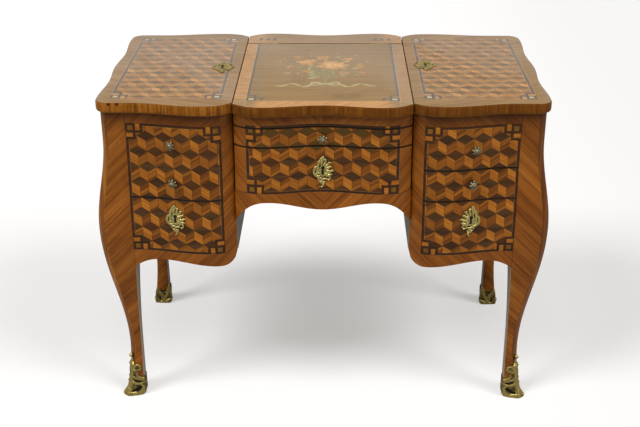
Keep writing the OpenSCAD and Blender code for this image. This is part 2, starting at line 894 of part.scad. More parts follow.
// Outline of an escutcheon with its keyhole
module escutcheon() {
    difference() {
        union() {
            scale([plate_w / plate_h, 1])
                circle(d = plate_h * 0.8, $fn = 32);
            for (a = [0 : 60 : 300])
                translate([0.36 * plate_w * sin(a), 0.4 * plate_h * cos(a)])
                    circle(r = plate_w * 0.14, $fn = 20);
        }
        keyhole_outline();
    }
}

module keyhole_outline() {
    circle(r = key_r);
    translate([-key_r / 2, -3 * key_r])
        square([key_r, 3 * key_r]);
}

// Keyhole through a drawer front, from the outside to the lock case
module keyhole(x, z) {
    on_front(x, z)
        rod(key_r, 2 * front_in, case_y(x, z, front) - front_in);
}

// Position of a lid's keyhole along Y
function lid_key(s) = lid_key_y[s == left ? 0 : 1];

module lid_bolt_room(s, g) {
    translate([lid_lock_x - g, lid_key(s) - bolt_w / 2 - g, lid_bolt_z - g])
        cube([bolt_l + 2 * g, bolt_w + 2 * g, bolt_t + 2 * g]);
}

module lid_lock(s) {
    mirrored(s) {
        color(BRASS)
            translate([lid_key_x, lid_key(s), height + fit])
                linear_extrude(plate_t)
                    escutcheon();
        color(STEEL)
            difference() {
                translate([lid_lock_x, lid_key(s) - lock_w / 2, case_top + lid_gap - lock_t])
                    cube([lid_key_x + lock_drop - lid_lock_x, lock_w, lock_t - fit]);
                lid_bolt_room(s, slip - fit);
                translate([lid_key_x, lid_key(s), case_top - lock_t / 2])
                    cylinder(r = key_r, h = lock_t);
            }
    }
}

module lid_bolt(s) {
    color(STEEL)
        mirrored(s)
            translate([slip, 0, 0])
                lid_bolt_room(s, -fit);
}

// A turned knob on its stem, pointing along -Y
module knob() {
    color(BRASS)
        rotate([90, 0, 0])
            union() {
                translate([0, 0, seat])
                    rotate_extrude($fn = 32)
                        polygon([
                            [0, 0], [0.6 * knob_r, 0], [0.5 * knob_r, 0.12 * knob_l], [0.28 * knob_r, 0.3 * knob_l],
                            [0.34 * knob_r, 0.45 * knob_l], [0.85 * knob_r, 0.55 * knob_l], [knob_r, 0.7 * knob_l],
                            [0.85 * knob_r, 0.86 * knob_l], [0.45 * knob_r, 0.97 * knob_l], [0, knob_l]]);
                translate([0, 0, -stem_l])
                    cylinder(r = stem_r, h = stem_l + 1);
            }
}

module knob_hole() {
    rod(stem_r + fit / 2, 3 * stem_l, stem_l + 1);
}

module false_front_knobs() {
    for (z = left_knob_z)
        on_front(left * mount_x, z)
            knob();
    on_front(right * mount_x, right_knob_z)
        knob();
}

// ---------------------------------------------------------------- slide and drawers

// A moving front of a pedestal between the heights z0 and z1
module pedestal_front(s, z0, z1, nz) {
    pedestal_panel(s, panel_in + front_gap / 2, panel_out - front_gap / 2, level(z0 + front_gap / 2),
        z1 - front_gap / 2, 14, nz);
}

// A moving front between the seams
module centre_front(z0, z1, nz) {
    half = seam_x - front_gap / 2;
    front_panel(steps(-half, half, 28), level(z0 + front_gap / 2), z1 - front_gap / 2, nz);
}

// Cuts a front's keyhole and the seat of its lock, whose case ends at the height top
module with_lock(x, key, top) {
    difference() {
        children();
        keyhole(x, key);
        lock_room(x, key, top, fit);
    }
}

// Sides, back and bottom of a drawer from x0 to x1, in the room from z0 up to z1
module drawer_box(x0, x1, z0, z1) {
    y0 = -front_in + fit;
    low = z0 + front_gap / 2;
    inner_w = x1 - x0 - 2 * box_t - 2 * fit;
    color(OAK) {
        for (x = [x0, x1 - box_t])
            translate([x, y0, low])
                cube([box_t, box_l, z1 - low]);
        translate([x0 + box_t + fit, y0 + box_l - box_t, low])
            cube([inner_w, box_t, z1 - low]);
        translate([x0 + box_t + fit, y0, low + bottom_rise])
            cube([inner_w, box_l - box_t - fit, bottom_t]);
    }
}

module pedestal_box(s, z0, z1) {
    in = panel_in + box_gap;
    out = panel_out - box_gap;
    drawer_box(s == left ? -out : in, s == left ? -in : out, z0, z1);
}

module slide_front() {
    color(DARK_VENEER)
        difference() {
            centre_front(slide_z, slide_top, 3);
            on_front(0, slide_knob_z)
                knob_hole();
        }
}

module slide_board() {
    half = seam_x - box_gap;
    color(OAK)
        translate([-half, -front_in + fit, dust_z + board_t + front_gap / 2])
            cube([2 * half, slide_l, slide_t]);
}

module slide_knob() {
    on_front(0, slide_knob_z)
        knob();
}

module centre_drawer_front() {
    color(DARK_VENEER)
        with_lock(0, centre_key_z, centre_lock_top)
            centre_front(centre_z, slide_z, 5);
}

module centre_drawer_box() {
    half = seam_x - box_gap;
    drawer_box(-half, half, centre_z, slide_z - box_head);
}

module left_drawer_front() {
    color(DARK_VENEER)
        with_lock(left * mount_x, key_z, pedestal_lock_top)
            pedestal_front(left, low_z, mid_z, 5);
}

module right_drawer_front() {
    color(DARK_VENEER)
        with_lock(right * mount_x, key_z, pedestal_lock_top)
            pedestal_front(right, low_z, mid_z, 5);
}

module middle_drawer_front() {
    color(DARK_VENEER)
        difference() {
            pedestal_front(right, mid_z, high_z, 3);
            on_front(right * mount_x, middle_knob_z)
                knob_hole();
        }
}

module middle_drawer_knob() {
    on_front(right * mount_x, middle_knob_z)
        knob();
}

// ---------------------------------------------------------------- nodes

leg(left, front);  // leg_front_left
leg(right, front);  // leg_front_right
leg(left, back);  // leg_back_left
leg(right, back);  // leg_back_right
sabot(left, front);  // sabot_front_left
sabot(right, front);  // sabot_front_right
sabot(left, back);  // sabot_back_left
sabot(right, back);  // sabot_back_right
side_panel(left);  // side_panel_left
side_panel(right);  // side_panel_right
back_panel();
partition(left);  // partition_left
partition(right);  // partition_right
inner_stile(left);  // inner_stile_left
inner_stile(right);  // inner_stile_right
side_aprons();
centre_apron();
side_top_rails();
centre_top_rail();
false_front(left);  // false_front_left
false_front(right);  // false_front_right
locking_board(left);  // well_floor_left
pedestal_board(right, high_z - board_t);  // well_floor_right
union() {  // pedestal_bottoms
    pedestal_board(left, low_z - board_t);
    pedestal_board(right, low_z - board_t);
}
union() {  // dust_boards
    locking_board(right);
    color(OAK)
        difference() {
            centre_board(dust_z);
            bolt_mortise(0, dust_z);
        }
}
centre_board(centre_z - board_t);  // centre_bottom_board
centre_board(slide_top + front_gap);  // mirror_well_floor
back_strip();
case_hinge_leaves();
false_front_knobs();
lid(left);  // lid_left
lid_hinge_leaves(left);  // lid_left_hinge_leaves
lid_lock(left);  // lid_left_lock
lid_bolt(left);  // lid_left_bolt
lid(right);  // lid_right
lid_hinge_leaves(right);  // lid_right_hinge_leaves
lid_lock(right);  // lid_right_lock
lid_bolt(right);  // lid_right_bolt
mirror_flap();
flap_hinge_leaves();
mirror_frame();
mirror_glass();
slide_front();
slide_board();
slide_knob();
centre_drawer_front();
centre_drawer_box();
drawer_lock(0, centre_key_z, centre_lock_top);  // centre_drawer_lock
drawer_bolt(0, centre_lock_top);  // centre_drawer_bolt
left_drawer_front();
pedestal_box(left, low_z, mid_board_z - box_head);  // left_drawer_box
drawer_lock(left * mount_x, key_z, pedestal_lock_top);  // left_drawer_lock
drawer_bolt(left * mount_x, pedestal_lock_top);  // left_drawer_bolt
middle_drawer_front();
pedestal_box(right, mid_z, high_z - board_t - box_head / 2);  // middle_drawer_box
middle_drawer_knob();
right_drawer_front();
pedestal_box(right, low_z, mid_board_z - box_head);  // right_drawer_box
drawer_lock(right * mount_x, key_z, pedestal_lock_top);  // right_drawer_lock
drawer_bolt(right * mount_x, pedestal_lock_top);  // right_drawer_bolt
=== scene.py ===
"""Veneers, parquetry, mounts and mirror of a poudreuse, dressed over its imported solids."""

import logging
import math
from dataclasses import dataclass, field
from enum import Enum
from typing import Callable, Sequence, Union

import bmesh
import bpy
import numpy as np
from mathutils import Matrix, Vector


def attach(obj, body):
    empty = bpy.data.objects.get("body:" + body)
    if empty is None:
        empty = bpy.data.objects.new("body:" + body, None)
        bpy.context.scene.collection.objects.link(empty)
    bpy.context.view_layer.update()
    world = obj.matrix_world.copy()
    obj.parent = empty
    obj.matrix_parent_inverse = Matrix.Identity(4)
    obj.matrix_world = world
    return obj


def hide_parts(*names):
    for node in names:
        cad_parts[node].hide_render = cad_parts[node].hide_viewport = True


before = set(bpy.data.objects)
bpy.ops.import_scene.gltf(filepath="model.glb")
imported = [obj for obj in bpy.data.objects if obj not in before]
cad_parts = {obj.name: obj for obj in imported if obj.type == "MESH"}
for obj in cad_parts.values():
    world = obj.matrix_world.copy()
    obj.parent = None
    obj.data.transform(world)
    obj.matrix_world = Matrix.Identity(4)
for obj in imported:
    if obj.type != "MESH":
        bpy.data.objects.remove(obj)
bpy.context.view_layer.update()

log = logging.getLogger("poudreuse")

MM = 0.001
LEFT, RIGHT = -1, 1
FRONT, BACK = -1, 1
SIDES = ((LEFT, "left"), (RIGHT, "right"))
ENDS = ((FRONT, "front"), (BACK, "back"))
Colour = tuple[float, float, float]
Points = np.ndarray
Socket = bpy.types.NodeSocket
Material = bpy.types.Material


# ---------------------------------------------------------------- plan and elevation curves


def ease(t: Points) -> Points:
    """A smooth step from 0 to 1."""
    return (1 - np.cos(np.pi * np.clip(t, 0, 1))) / 2


@dataclass(frozen=True)
class Curves:
    """The curves that the top, the case and the legs share, in metres."""

    height: float = 0.750
    lid_gap: float = 0.0003
    half_w: float = 0.488
    half_d: float = 0.283
    corner_r: float = 0.028
    overhang: float = 0.009
    seam: float = 0.1925
    seam_in: float = 0.1917
    seam_out: float = 0.1933
    centre_full: float = 0.128
    side_full: float = 0.262
    centre_swell: float = 0.015
    front_swell: float = 0.022
    back_swell: float = 0.014
    front_set: float = 0.006
    back_set: float = 0.003
    fall: float = 2.6
    seam_dip: float = 0.026
    flat_x: float = 0.410
    wave: float = 0.006
    wave_l: float = 0.210
    straight_z: float = 0.660
    belly_z: float = 0.455
    ankle_z: float = 0.130
    belly_x: float = 0.024
    belly_y: float = 0.012
    ankle_x: float = 0.018
    ankle_y: float = 0.020
    toe_out: float = 0.008
    panel_in: float = 0.218
    panel_out: float = 0.425
    case_top: float = 0.727
    rail_z: float = 0.702
    high_z: float = 0.602
    mid_z: float = 0.532
    low_z: float = 0.403
    slide_top: float = 0.700
    slide_z: float = 0.656
    centre_z: float = 0.551
    knee_z: float = 0.359
    apron_low: float = 0.370
    apron_high: float = 0.381
    apron_crest: float = 0.350
    stile_r: float = 0.032
    arch_low: float = 0.510
    arch_high: float = 0.531
    arch_end: float = 0.480
    arch_crest: float = 0.120
    knee_in: float = 0.008
    cant: float = 0.012
    front_in: float = 0.230
    back_in: float = 0.236
    post_in_front: float = 0.195
    post_in_back: float = 0.211
    side_in: float = 0.461
    flap_axis_y: float = 0.193
    flap_axis_z: float = 0.7478
    hollow_r: float = 0.0037
    leaf_gap: float = 0.0004

    def edge_y(self, x: Points, f: int) -> Points:
        """Distance from the middle to the front or back edge of the top at x."""
        a = np.abs(x)
        swell, back = (self.front_swell, self.front_set) if f == FRONT else (self.back_swell, self.back_set)
        full = self.half_d - back
        dip = np.clip((a - self.centre_full) / (self.seam - self.centre_full), 0, 1)
        rise = np.clip((self.side_full - a) / (self.side_full - self.seam), 0, 1)
        return np.select(
            [a < self.centre_full, a < self.seam, a < self.side_full],
            [
                self.half_d - self.centre_swell * (1 - ease(a / self.centre_full)),
                self.half_d - self.seam_dip * dip**2.5,
                full - self.seam_dip * rise**3,
            ],
            full - swell * ease((a - self.side_full) / (self.flat_x - self.side_full)),
        )

    def edge_x(self, y: Points) -> Points:
        """Distance from the middle to the side edge of the top at y."""
        return self.half_w - self.wave * (1 - np.cos(2 * np.pi * y / self.wave_l)) / 2

    def belly(self, z: Points, out: float, inwards: float) -> Points:
        """How far the case stands out at height z, past its outline under the lids."""
        return np.select(
            [z >= self.straight_z, z >= self.belly_z, z >= self.ankle_z],
            [
                0 * z,
                out * ease((self.straight_z - z) / (self.straight_z - self.belly_z)),
                out - (out + inwards) * ease((self.belly_z - z) / (self.belly_z - self.ankle_z)),
            ],
            self.toe_out * ease((self.ankle_z - z) / self.ankle_z) - inwards,
        )

    def case_y(self, x: Points, z: Points, f: int = FRONT) -> Points:
        """Distance from the middle to the case's front or back face."""
        return self.edge_y(x, f) - self.overhang + self.belly(z, self.belly_y, self.ankle_y)

    def case_x(self, y: Points, z: Points) -> Points:
        """Distance from the middle to the case's side face."""
        return self.edge_x(y) - self.overhang + self.belly(z, self.belly_x, self.ankle_x)

    def falling(self, high: float, low: float, out: Points) -> Points:
        """An edge that falls from high to low, ever steeper, as out goes from 0 to 1."""
        return high - (high - low) * np.clip(out, 0, 1) ** self.fall

    def pedestal_low(self, x: Points) -> Points:
        """Lower edge of the pedestals, from the rounded stile to the leg."""
        a = np.abs(x)
        round_x = self.seam + self.stile_r
        corner = np.sqrt(np.clip(self.stile_r**2 - (round_x - a) ** 2, 0, None))
        out = (a - self.apron_crest) / (self.panel_out - self.apron_crest)
        return np.select(
            [a < round_x, a < self.apron_crest],
            [
                self.apron_low + self.stile_r - corner,
                self.apron_low
                + (self.apron_high - self.apron_low) * ease((a - round_x) / (self.apron_crest - round_x)),
            ],
            self.falling(self.apron_high, self.knee_z, out),
        )

    def arch(self, x: Points) -> Points:
        """Lower edge of the centre apron."""
        a = np.abs(x)
        out = (a - self.arch_crest) / (self.seam - self.arch_crest)
        return np.where(
            a < self.arch_crest,
            self.arch_low + (self.arch_high - self.arch_low) * ease(a / self.arch_crest),
            self.falling(self.arch_high, self.arch_end, out),
        )

    def side_low(self, y: Points) -> Points:
        """Lower edge of the side panels, between the front and back legs."""
        middle = (self.post_in_back - self.post_in_front) / 2
        half = (self.post_in_back + self.post_in_front) / 2
        return self.falling(self.apron_high, self.knee_z, np.abs(y - middle) / half)

    def leg_in(self, z: Points) -> Points:
        """Inner edge of a leg along X."""
        t = np.clip((self.knee_z - z) / (self.knee_z - self.ankle_z), 0, 1)
        return self.panel_out + self.knee_in * (1 - (1 - t) ** 2)

    def leg_corners(self, z: float, f: int) -> Points:
        """Corners of a front or back leg's section at height z, as distances from the middle."""
        in_y = self.post_in_front if f == FRONT else self.post_in_back
        y, x_in = float(self.case_y(self.flat_x, z, f)), float(self.leg_in(z))
        return np.array([
            (x_in, in_y),
            (float(self.case_x(in_y, z)), in_y),
            (float(self.case_x(y - self.cant, z)), y - self.cant),
            (float(self.case_x(y, z)) - self.cant, y),
            (x_in, y),
        ])

    def slope(self, x: Points, z: Points, d: float) -> tuple[Points, Points]:
        """How fast the front comes forward along X and along Z, measured over d to each side."""
        along = (self.case_y(x + d, z) - self.case_y(x - d, z)) / (2 * d)
        return along, (self.case_y(x, z + d) - self.case_y(x, z - d)) / (2 * d)


C = Curves()


def level(z: float) -> Callable[[Points], Points]:
    """A straight lower edge at height z."""
    return lambda x: np.full_like(np.asarray(x, float), z)


# ---------------------------------------------------------------- shader maths


def arithmetic(operation: str, swapped: bool = False) -> Callable[..., "Num"]:
    """An operator of numbers; swapped gives its reflected form."""

    def operator(self: "Num", other: "Value | None" = None) -> "Num":
        """Adds one Math node."""
        return self.tree.math(operation, *((other, self) if swapped else (self, other)))

    return operator


class Num:
    """A number in a tree of nodes; arithmetic on it adds Math nodes."""

    def __init__(self, tree: "Nodes", socket: Socket) -> None:
        """Wraps one output socket of a tree."""
        self.tree = tree
        self.socket = socket

    __add__ = __radd__ = arithmetic("ADD")
    __mul__ = __rmul__ = arithmetic("MULTIPLY")
    __sub__, __rsub__ = arithmetic("SUBTRACT"), arithmetic("SUBTRACT", True)
    __truediv__, __rtruediv__ = arithmetic("DIVIDE"), arithmetic("DIVIDE", True)
    __abs__, floor, round, fract = map(arithmetic, ("ABSOLUTE", "FLOOR", "ROUND", "FRACT"))
    low, high, above = map(arithmetic, ("MINIMUM", "MAXIMUM", "GREATER_THAN"))

    def __neg__(self) -> "Num":
        """Negative."""
        return self * -1.0

    def step(self, start: float, end: float) -> "Num":
        """Rises smoothly from 0 at start to 1 at end."""
        values = {"Value": self, "From Min": start, "From Max": end}
        return self.tree.number("ShaderNodeMapRange", {"interpolation_type": "SMOOTHSTEP"}, values)

    def crisp(self, soft: float = 0.0002) -> "Num":
        """1 where it is above 0, with an edge that is soft by that much on each side."""
        return self.step(-soft, soft)


Value = Union[Num, Socket, float]
Tint = Union[Socket, Colour]


class Nodes:
    """A tree of nodes, made by type, settings and values."""

    def __init__(self, tree: bpy.types.NodeTree) -> None:
        """Starts with the tree empty."""
        self.nodes, self.links = tree.nodes, tree.links
        self.nodes.clear()

    def add(self, kind: str, settings: dict | None = None, values: dict | None = None) -> bpy.types.Node:
        """Adds a node.

        Args:
            kind: The node's type.
            settings: Its own settings; "stops" holds a ramp's positions and colours.
            values: Numbers, colours or links for its sockets, by name or place.

        Returns:
            The new node.
        """
        node = self.nodes.new(kind)
        for key, value in (settings or {}).items():
            if key == "stops":
                ramp = node.color_ramp
                while len(ramp.elements) < len(value):
                    ramp.elements.new(0.5)
                for element, (place, colour) in zip(ramp.elements, value):
                    element.position = place
                    element.color = (*colour, 1)
            else:
                setattr(node, key, value)
        for key, value in (values or {}).items():
            socket = node.inputs[key]
            value = value.socket if isinstance(value, Num) else value
            if isinstance(value, Socket):
                self.links.new(value, socket)
            elif isinstance(value, tuple) and socket.type == "RGBA":
                socket.default_value = (*value[:3], 1)
            else:
                socket.default_value = value
        return node

    def number(
        self, kind: str, settings: dict | None = None, values: dict | None = None, out: int | str = 0
    ) -> Num:
        """One output of a new node, as a number."""
        return Num(self, self.add(kind, settings, values).outputs[out])

    def math(self, operation: str, a: Value, b: Value | None = None) -> Num:
        """One Math node on one or two numbers."""
        return self.number("ShaderNodeMath", {"operation": operation}, {0: a} if b is None else {0: a, 1: b})

    def point(self, x: Value, y: Value, z: Value) -> Socket:
        """A vector from three numbers."""
        return self.add("ShaderNodeCombineXYZ", None, {0: x, 1: y, 2: z}).outputs[0]

    def parts(self, vector: Socket) -> tuple[Num, Num, Num]:
        """The three numbers of a vector."""
        return tuple(Num(self, part) for part in self.add("ShaderNodeSeparateXYZ", None, {0: vector}).outputs)


class Tree(Nodes):
    """The nodes of one material."""

    def __init__(self, name: str) -> None:
        """Starts an empty material of that name."""
        self.material = bpy.data.materials.new(name)
        self.material.use_nodes = True
        super().__init__(self.material.node_tree)

    def place(self) -> tuple[Num, Num, Num]:
        """The point's place on the piece, in metres."""
        return self.parts(self.add("ShaderNodeTexCoord").outputs["Object"])

    def attribute(self, name: str) -> Num:
        """A number stored on the piece's points."""
        return self.number("ShaderNodeAttribute", {"attribute_name": name}, out="Fac")

    def noise(self, at: Socket, scale: float, detail: float = 2, rough: float = 0.5) -> Num:
        """Soft noise from 0 to 1."""
        values = {"Vector": at, "Scale": scale, "Detail": detail, "Roughness": rough}
        return self.number("ShaderNodeTexNoise", None, values, "Fac")

    def chance(self, x: Value, y: Value, z: Value) -> Num:
        """A random number from 0 to 1 for each set of three whole numbers."""
        values = {"Vector": self.point(x, y, z)}
        return self.number("ShaderNodeTexWhiteNoise", {"noise_dimensions": "3D"}, values, "Value")

    def mix(self, share: Value, a: Tint, b: Tint) -> Socket:
        """A colour between a and b."""
        settings = {"data_type": "RGBA", "clamp_result": True}
        return self.add("ShaderNodeMix", settings, {0: share, 6: a, 7: b}).outputs[2]

    def ramp(self, share: Num, stops: Sequence[tuple[float, Colour]]) -> Socket:
        """A colour from a row of stops."""
        return self.add("ShaderNodeValToRGB", {"stops": stops}, {0: share}).outputs[0]

    def finish(self, values: dict, height: Num | None = None, depth: float = 0.0003) -> Material:
        """Closes the material with one shader.

        Args:
            values: Sockets of the shader.
            height: Relief from 0 to 1, or none.
            depth: Height of that relief in metres.

        Returns:
            The material.
        """
        if height is not None:
            bump = self.add("ShaderNodeBump", None, {"Strength": 1.0, "Distance": depth, "Height": height})
            values = {**values, "Normal": bump.outputs[0]}
        shader = self.add("ShaderNodeBsdfPrincipled", None, values)
        self.add("ShaderNodeOutputMaterial", None, {0: shader.outputs[0]})
        return self.material


# ---------------------------------------------------------------- finishes


class Lay(Enum):
    """The two axes that a veneer is laid out on."""

    FRONT = 0
    SIDE = 1
    TOP = 2


@dataclass(frozen=True)
class Tones:
    """The colours of one wood, from its dark streaks to its light ones."""

    dark: Colour
    mid: Colour
    light: Colour


ROSEWOOD = Tones((0.12, 0.032, 0.004), (0.285, 0.085, 0.009), (0.44, 0.155, 0.022))
BAND_WOOD = Tones((0.10, 0.030, 0.004), (0.32, 0.108, 0.011), (0.54, 0.215, 0.028))
DARK_WOOD = Tones((0.044, 0.019, 0.006), (0.080, 0.035, 0.011), (0.125, 0.056, 0.017))
ORANGE_WOOD = Tones((0.25, 0.077, 0.008), (0.42, 0.138, 0.014), (0.57, 0.215, 0.028))
BROWN_WOOD = Tones((0.09, 0.026, 0.004), (0.18, 0.055, 0.007), (0.31, 0.108, 0.017))
OLIVE_WOOD = Tones((0.070, 0.035, 0.004), (0.115, 0.060, 0.008), (0.17, 0.088, 0.013))
HEART_WOOD = Tones((0.12, 0.050, 0.006), (0.20, 0.085, 0.011), (0.29, 0.135, 0.022))
EBONY = Tones((0.026, 0.011, 0.005), (0.056, 0.023, 0.008), (0.095, 0.040, 0.014))
# Grey stringing of the tops: the dark line's own colour made paler and greyer with painted sheen.
PAINTED_SHEEN_SLATE = Tones((0.10, 0.088, 0.075), (0.15, 0.132, 0.112), (0.22, 0.19, 0.155))
EDGE_WOOD = Tones((0.020, 0.009, 0.004), (0.045, 0.020, 0.008), (0.075, 0.034, 0.013))
# Near-black, for painted shadow in gaps and seams, under the shoes and in the keyholes; also the dark nicks
# in the left lid's edge.
SHADOW_WOOD = Tones((0.004, 0.003, 0.002), (0.012, 0.007, 0.004), (0.03, 0.015, 0.008))
# Woods of the lids, the flap and the strip: their own colours made paler and greyer with painted sheen.
PAINTED_SHEEN_DARK = Tones((0.135, 0.090, 0.048), (0.195, 0.128, 0.068), (0.27, 0.18, 0.092))
PAINTED_SHEEN_ORANGE = Tones((0.38, 0.185, 0.070), (0.55, 0.285, 0.108), (0.66, 0.365, 0.15))
PAINTED_SHEEN_BROWN = Tones((0.245, 0.130, 0.058), (0.345, 0.200, 0.088), (0.45, 0.27, 0.125))
PAINTED_SHEEN_BORDER = Tones((0.235, 0.130, 0.052), (0.340, 0.200, 0.084), (0.45, 0.28, 0.125))
BOXWOOD = Tones((0.48, 0.36, 0.19), (0.60, 0.46, 0.26), (0.68, 0.53, 0.31))
OAK = Tones((0.10, 0.05, 0.02), (0.22, 0.12, 0.05), (0.32, 0.19, 0.09))


@dataclass(frozen=True)
class Polish:
    """How a varnished wood shines."""

    rough: float = 0.36
    coat: float = 0.03
    coat_rough: float = 0.16
    specular: float = 0.11


TOP_POLISH = Polish(0.36, 0.06, 0.2, 0.22)
APART = 3.7
ENDLESS = 2000.0


def side_of(x: Num) -> Num:
    """A number that differs left and right of the middle, to draw each side's wood apart."""
    return x.above(0.0) * APART


def paint_overhang_shade(tree: Tree, colour: Socket, z: Num, overhang_shade: float) -> Socket:
    """Paints shade on a front under the overhang of the top, by the share given: painted shadow of the
    overhang.
    """
    return tree.mix(z.step(0.665, 0.724) * overhang_shade, colour, (0.03, 0.011, 0.003)) if overhang_shade else colour


def laid(tree: Tree, lay: Lay) -> tuple[Num, Num, Num]:
    """Coordinates of a veneer.

    Args:
        tree: The material's nodes.
        lay: The axes that it is laid out on.

    Returns:
        Distance from the middle sideways, distance upwards, and a number that differs left and right.
    """
    x, y, z = tree.place()
    side = side_of(x)
    if lay is Lay.FRONT:
        return abs(x), z, side
    if lay is Lay.SIDE:
        return y, z, side
    return abs(x), y, side


def grain(tree: Tree, along: Num, across: Num, seed: Value, tones: Tones) -> tuple[Socket, Num]:
    """Streaked wood grain.

    Args:
        tree: The material's nodes.
        along: Distance along the grain, in metres.
        across: Distance across the grain, in metres.
        seed: Sets one leaf of veneer apart from the next.
        tones: The wood's colours.

    Returns:
        The colour, and the grain's relief from 0 to 1.
    """
    sway = tree.noise(tree.point(along * 4.0, across * 9.0, seed), 1.0, 1) - 0.5
    bent = across + sway * 0.004
    bands = tree.noise(tree.point(along * 2.0, bent * 75.0, seed), 1.0, 2)
    streaks = tree.noise(tree.point(along * 9.0, bent * 360.0, seed), 1.0, 3, 0.62)
    pores = tree.noise(tree.point(along * 70.0, bent * 1900.0, seed), 1.0, 1)
    tone = (bands - 0.5) * 0.95 + (streaks - 0.5) * 1.35 + 0.5
    colour = tree.ramp(tone, [(0.12, tones.dark), (0.5, tones.mid), (0.88, tones.light)])
    shade = pores.step(0.62, 0.72) * 0.45
    colour = tree.mix(shade, colour, tones.dark)
    return colour, streaks * 0.5 + (1 - shade) * 0.5


@dataclass(frozen=True)
class Veneer:
    """A veneer in leaves side by side, with the grain at an angle."""

    name: str
    lay: Lay = Lay.FRONT
    angle: float = 135.0
    tones: Tones = ROSEWOOD
    leaf: float = 0.058
    seed: float = 0.0
    overhang_shade: float = 0.0
    seam: float = 0.0
    polish: Polish = Polish()

    def colour(self, tree: Tree, u: Num, v: Num, side: Num) -> tuple[Socket, Num]:
        """Colour and relief of the veneer at u, v."""
        c, s = math.cos(math.radians(self.angle)), math.sin(math.radians(self.angle))
        along = u * c + v * s
        across = v * c - u * s
        place = (across + tree.noise(tree.point(along, across, side), 6.0, 1) * 0.004) / self.leaf
        leaf = place.floor()
        rank = tree.chance(leaf, side + self.seed, 3.0)
        colour, relief = grain(tree, along, across, leaf * 1.37 + side + self.seed, self.tones)
        joint = abs(place.fract() - 0.5).step(0.489, 0.497) * 0.45
        wide = tree.noise(tree.point(along * 1.5, across * 30.0, side + self.seed), 1.0, 2)
        colour = tree.mix(wide.step(0.52, 0.72) * 0.42, colour, self.tones.dark)
        colour = tree.mix(wide.step(0.46, 0.28) * 0.30, colour, self.tones.light)
        colour = tree.mix(rank.step(0.0, 1.0) * 0.28, colour, self.tones.dark)
        colour = tree.mix(joint, colour, self.tones.dark)
        return colour, relief * (1 - joint * 0.5)

    def build(self) -> Material:
        """The veneer's material."""
        tree = Tree(self.name)
        u, v, side = laid(tree, self.lay)
        colour, relief = self.colour(tree, u, v, side)
        colour = paint_overhang_shade(tree, colour, v, self.overhang_shade)
        if self.seam:
            # Painted shadow in the gap at the seam, above the centre drawer.
            gap = abs(u - self.seam).step(0.0019, 0.0013) * v.above(C.centre_z)
            colour = tree.mix(gap, colour, SHADOW_WOOD.mid)
        return varnished(tree, colour, relief, self.polish)


def varnished(
    tree: Tree, colour: Socket, relief: Num, polish: Polish, worn: float = 1.0
) -> Material:
    """Closes a wood with its worn French polish.

    Args:
        tree: The material's nodes.
        colour: The wood's colour.
        relief: Its relief from 0 to 1.
        polish: How it shines.
        worn: How strong the stains and scuffs are.

    Returns:
        The material.
    """
    x, y, z = tree.place()
    at = tree.point(x, y, z)
    stain = tree.noise(at, 9.0, 4, 0.6)
    scuff = tree.noise(at, 60.0, 5, 0.7)
    darker = tree.mix(stain.step(0.55, 0.8) * (0.30 * worn), colour, (0.03, 0.014, 0.006))
    rough = polish.rough + (stain - 0.5) * 0.14 + scuff.step(0.52, 0.75) * (0.10 * worn)
    return tree.finish(
        {
            "Base Color": darker,
            "Roughness": rough,
            "Specular IOR Level": polish.specular,
            "Coat Weight": (1 - scuff.step(0.5, 0.8) * 0.5) * polish.coat,
            "Coat Roughness": polish.coat_rough,
        },
        relief * 0.75 + scuff * 0.25,
        0.00012,
    )


@dataclass(frozen=True)
class Field:
    """Place and size of one parquetry field, in metres on its two axes."""

    mid_u: float
    mid_v: float
    half_u: float
    half_v: float


@dataclass(frozen=True)
class Key:
    """Greek-key stringing in a field's corner, in widths of its line.

    near and far are a point's distances from the field's two nearest edges, the smaller first.
    """

    near: Num
    far: Num
    line: float

    FOLD = 3.67
    REACH = 7.1

    def bar(self, start: float, end: float, low: float, high: float) -> Num:
        """How far the point lies inside one bar: start to end along an edge, low to high from it."""
        b = self.line
        across = (self.near - low * b).low(high * b - self.near)
        return (self.far - start * b).low(end * b - self.far).low(across)

    def folded(self, rule: Num) -> Num:
        """Adds the bars of the folded corner to the straight line."""
        fold, turn, reach, end = self.FOLD, self.FOLD + 1, self.REACH, self.REACH + 1
        for bar in ((0, turn, 0, 1), (fold, turn, 0, turn), (turn, end, fold, turn), (reach, end, 0, turn)):
            rule = rule.high(self.bar(*bar))
        return rule

    def heart(self) -> Num:
        """How far the point lies inside the square that the folds enclose."""
        return self.bar(-ENDLESS, self.FOLD, 1, self.FOLD)
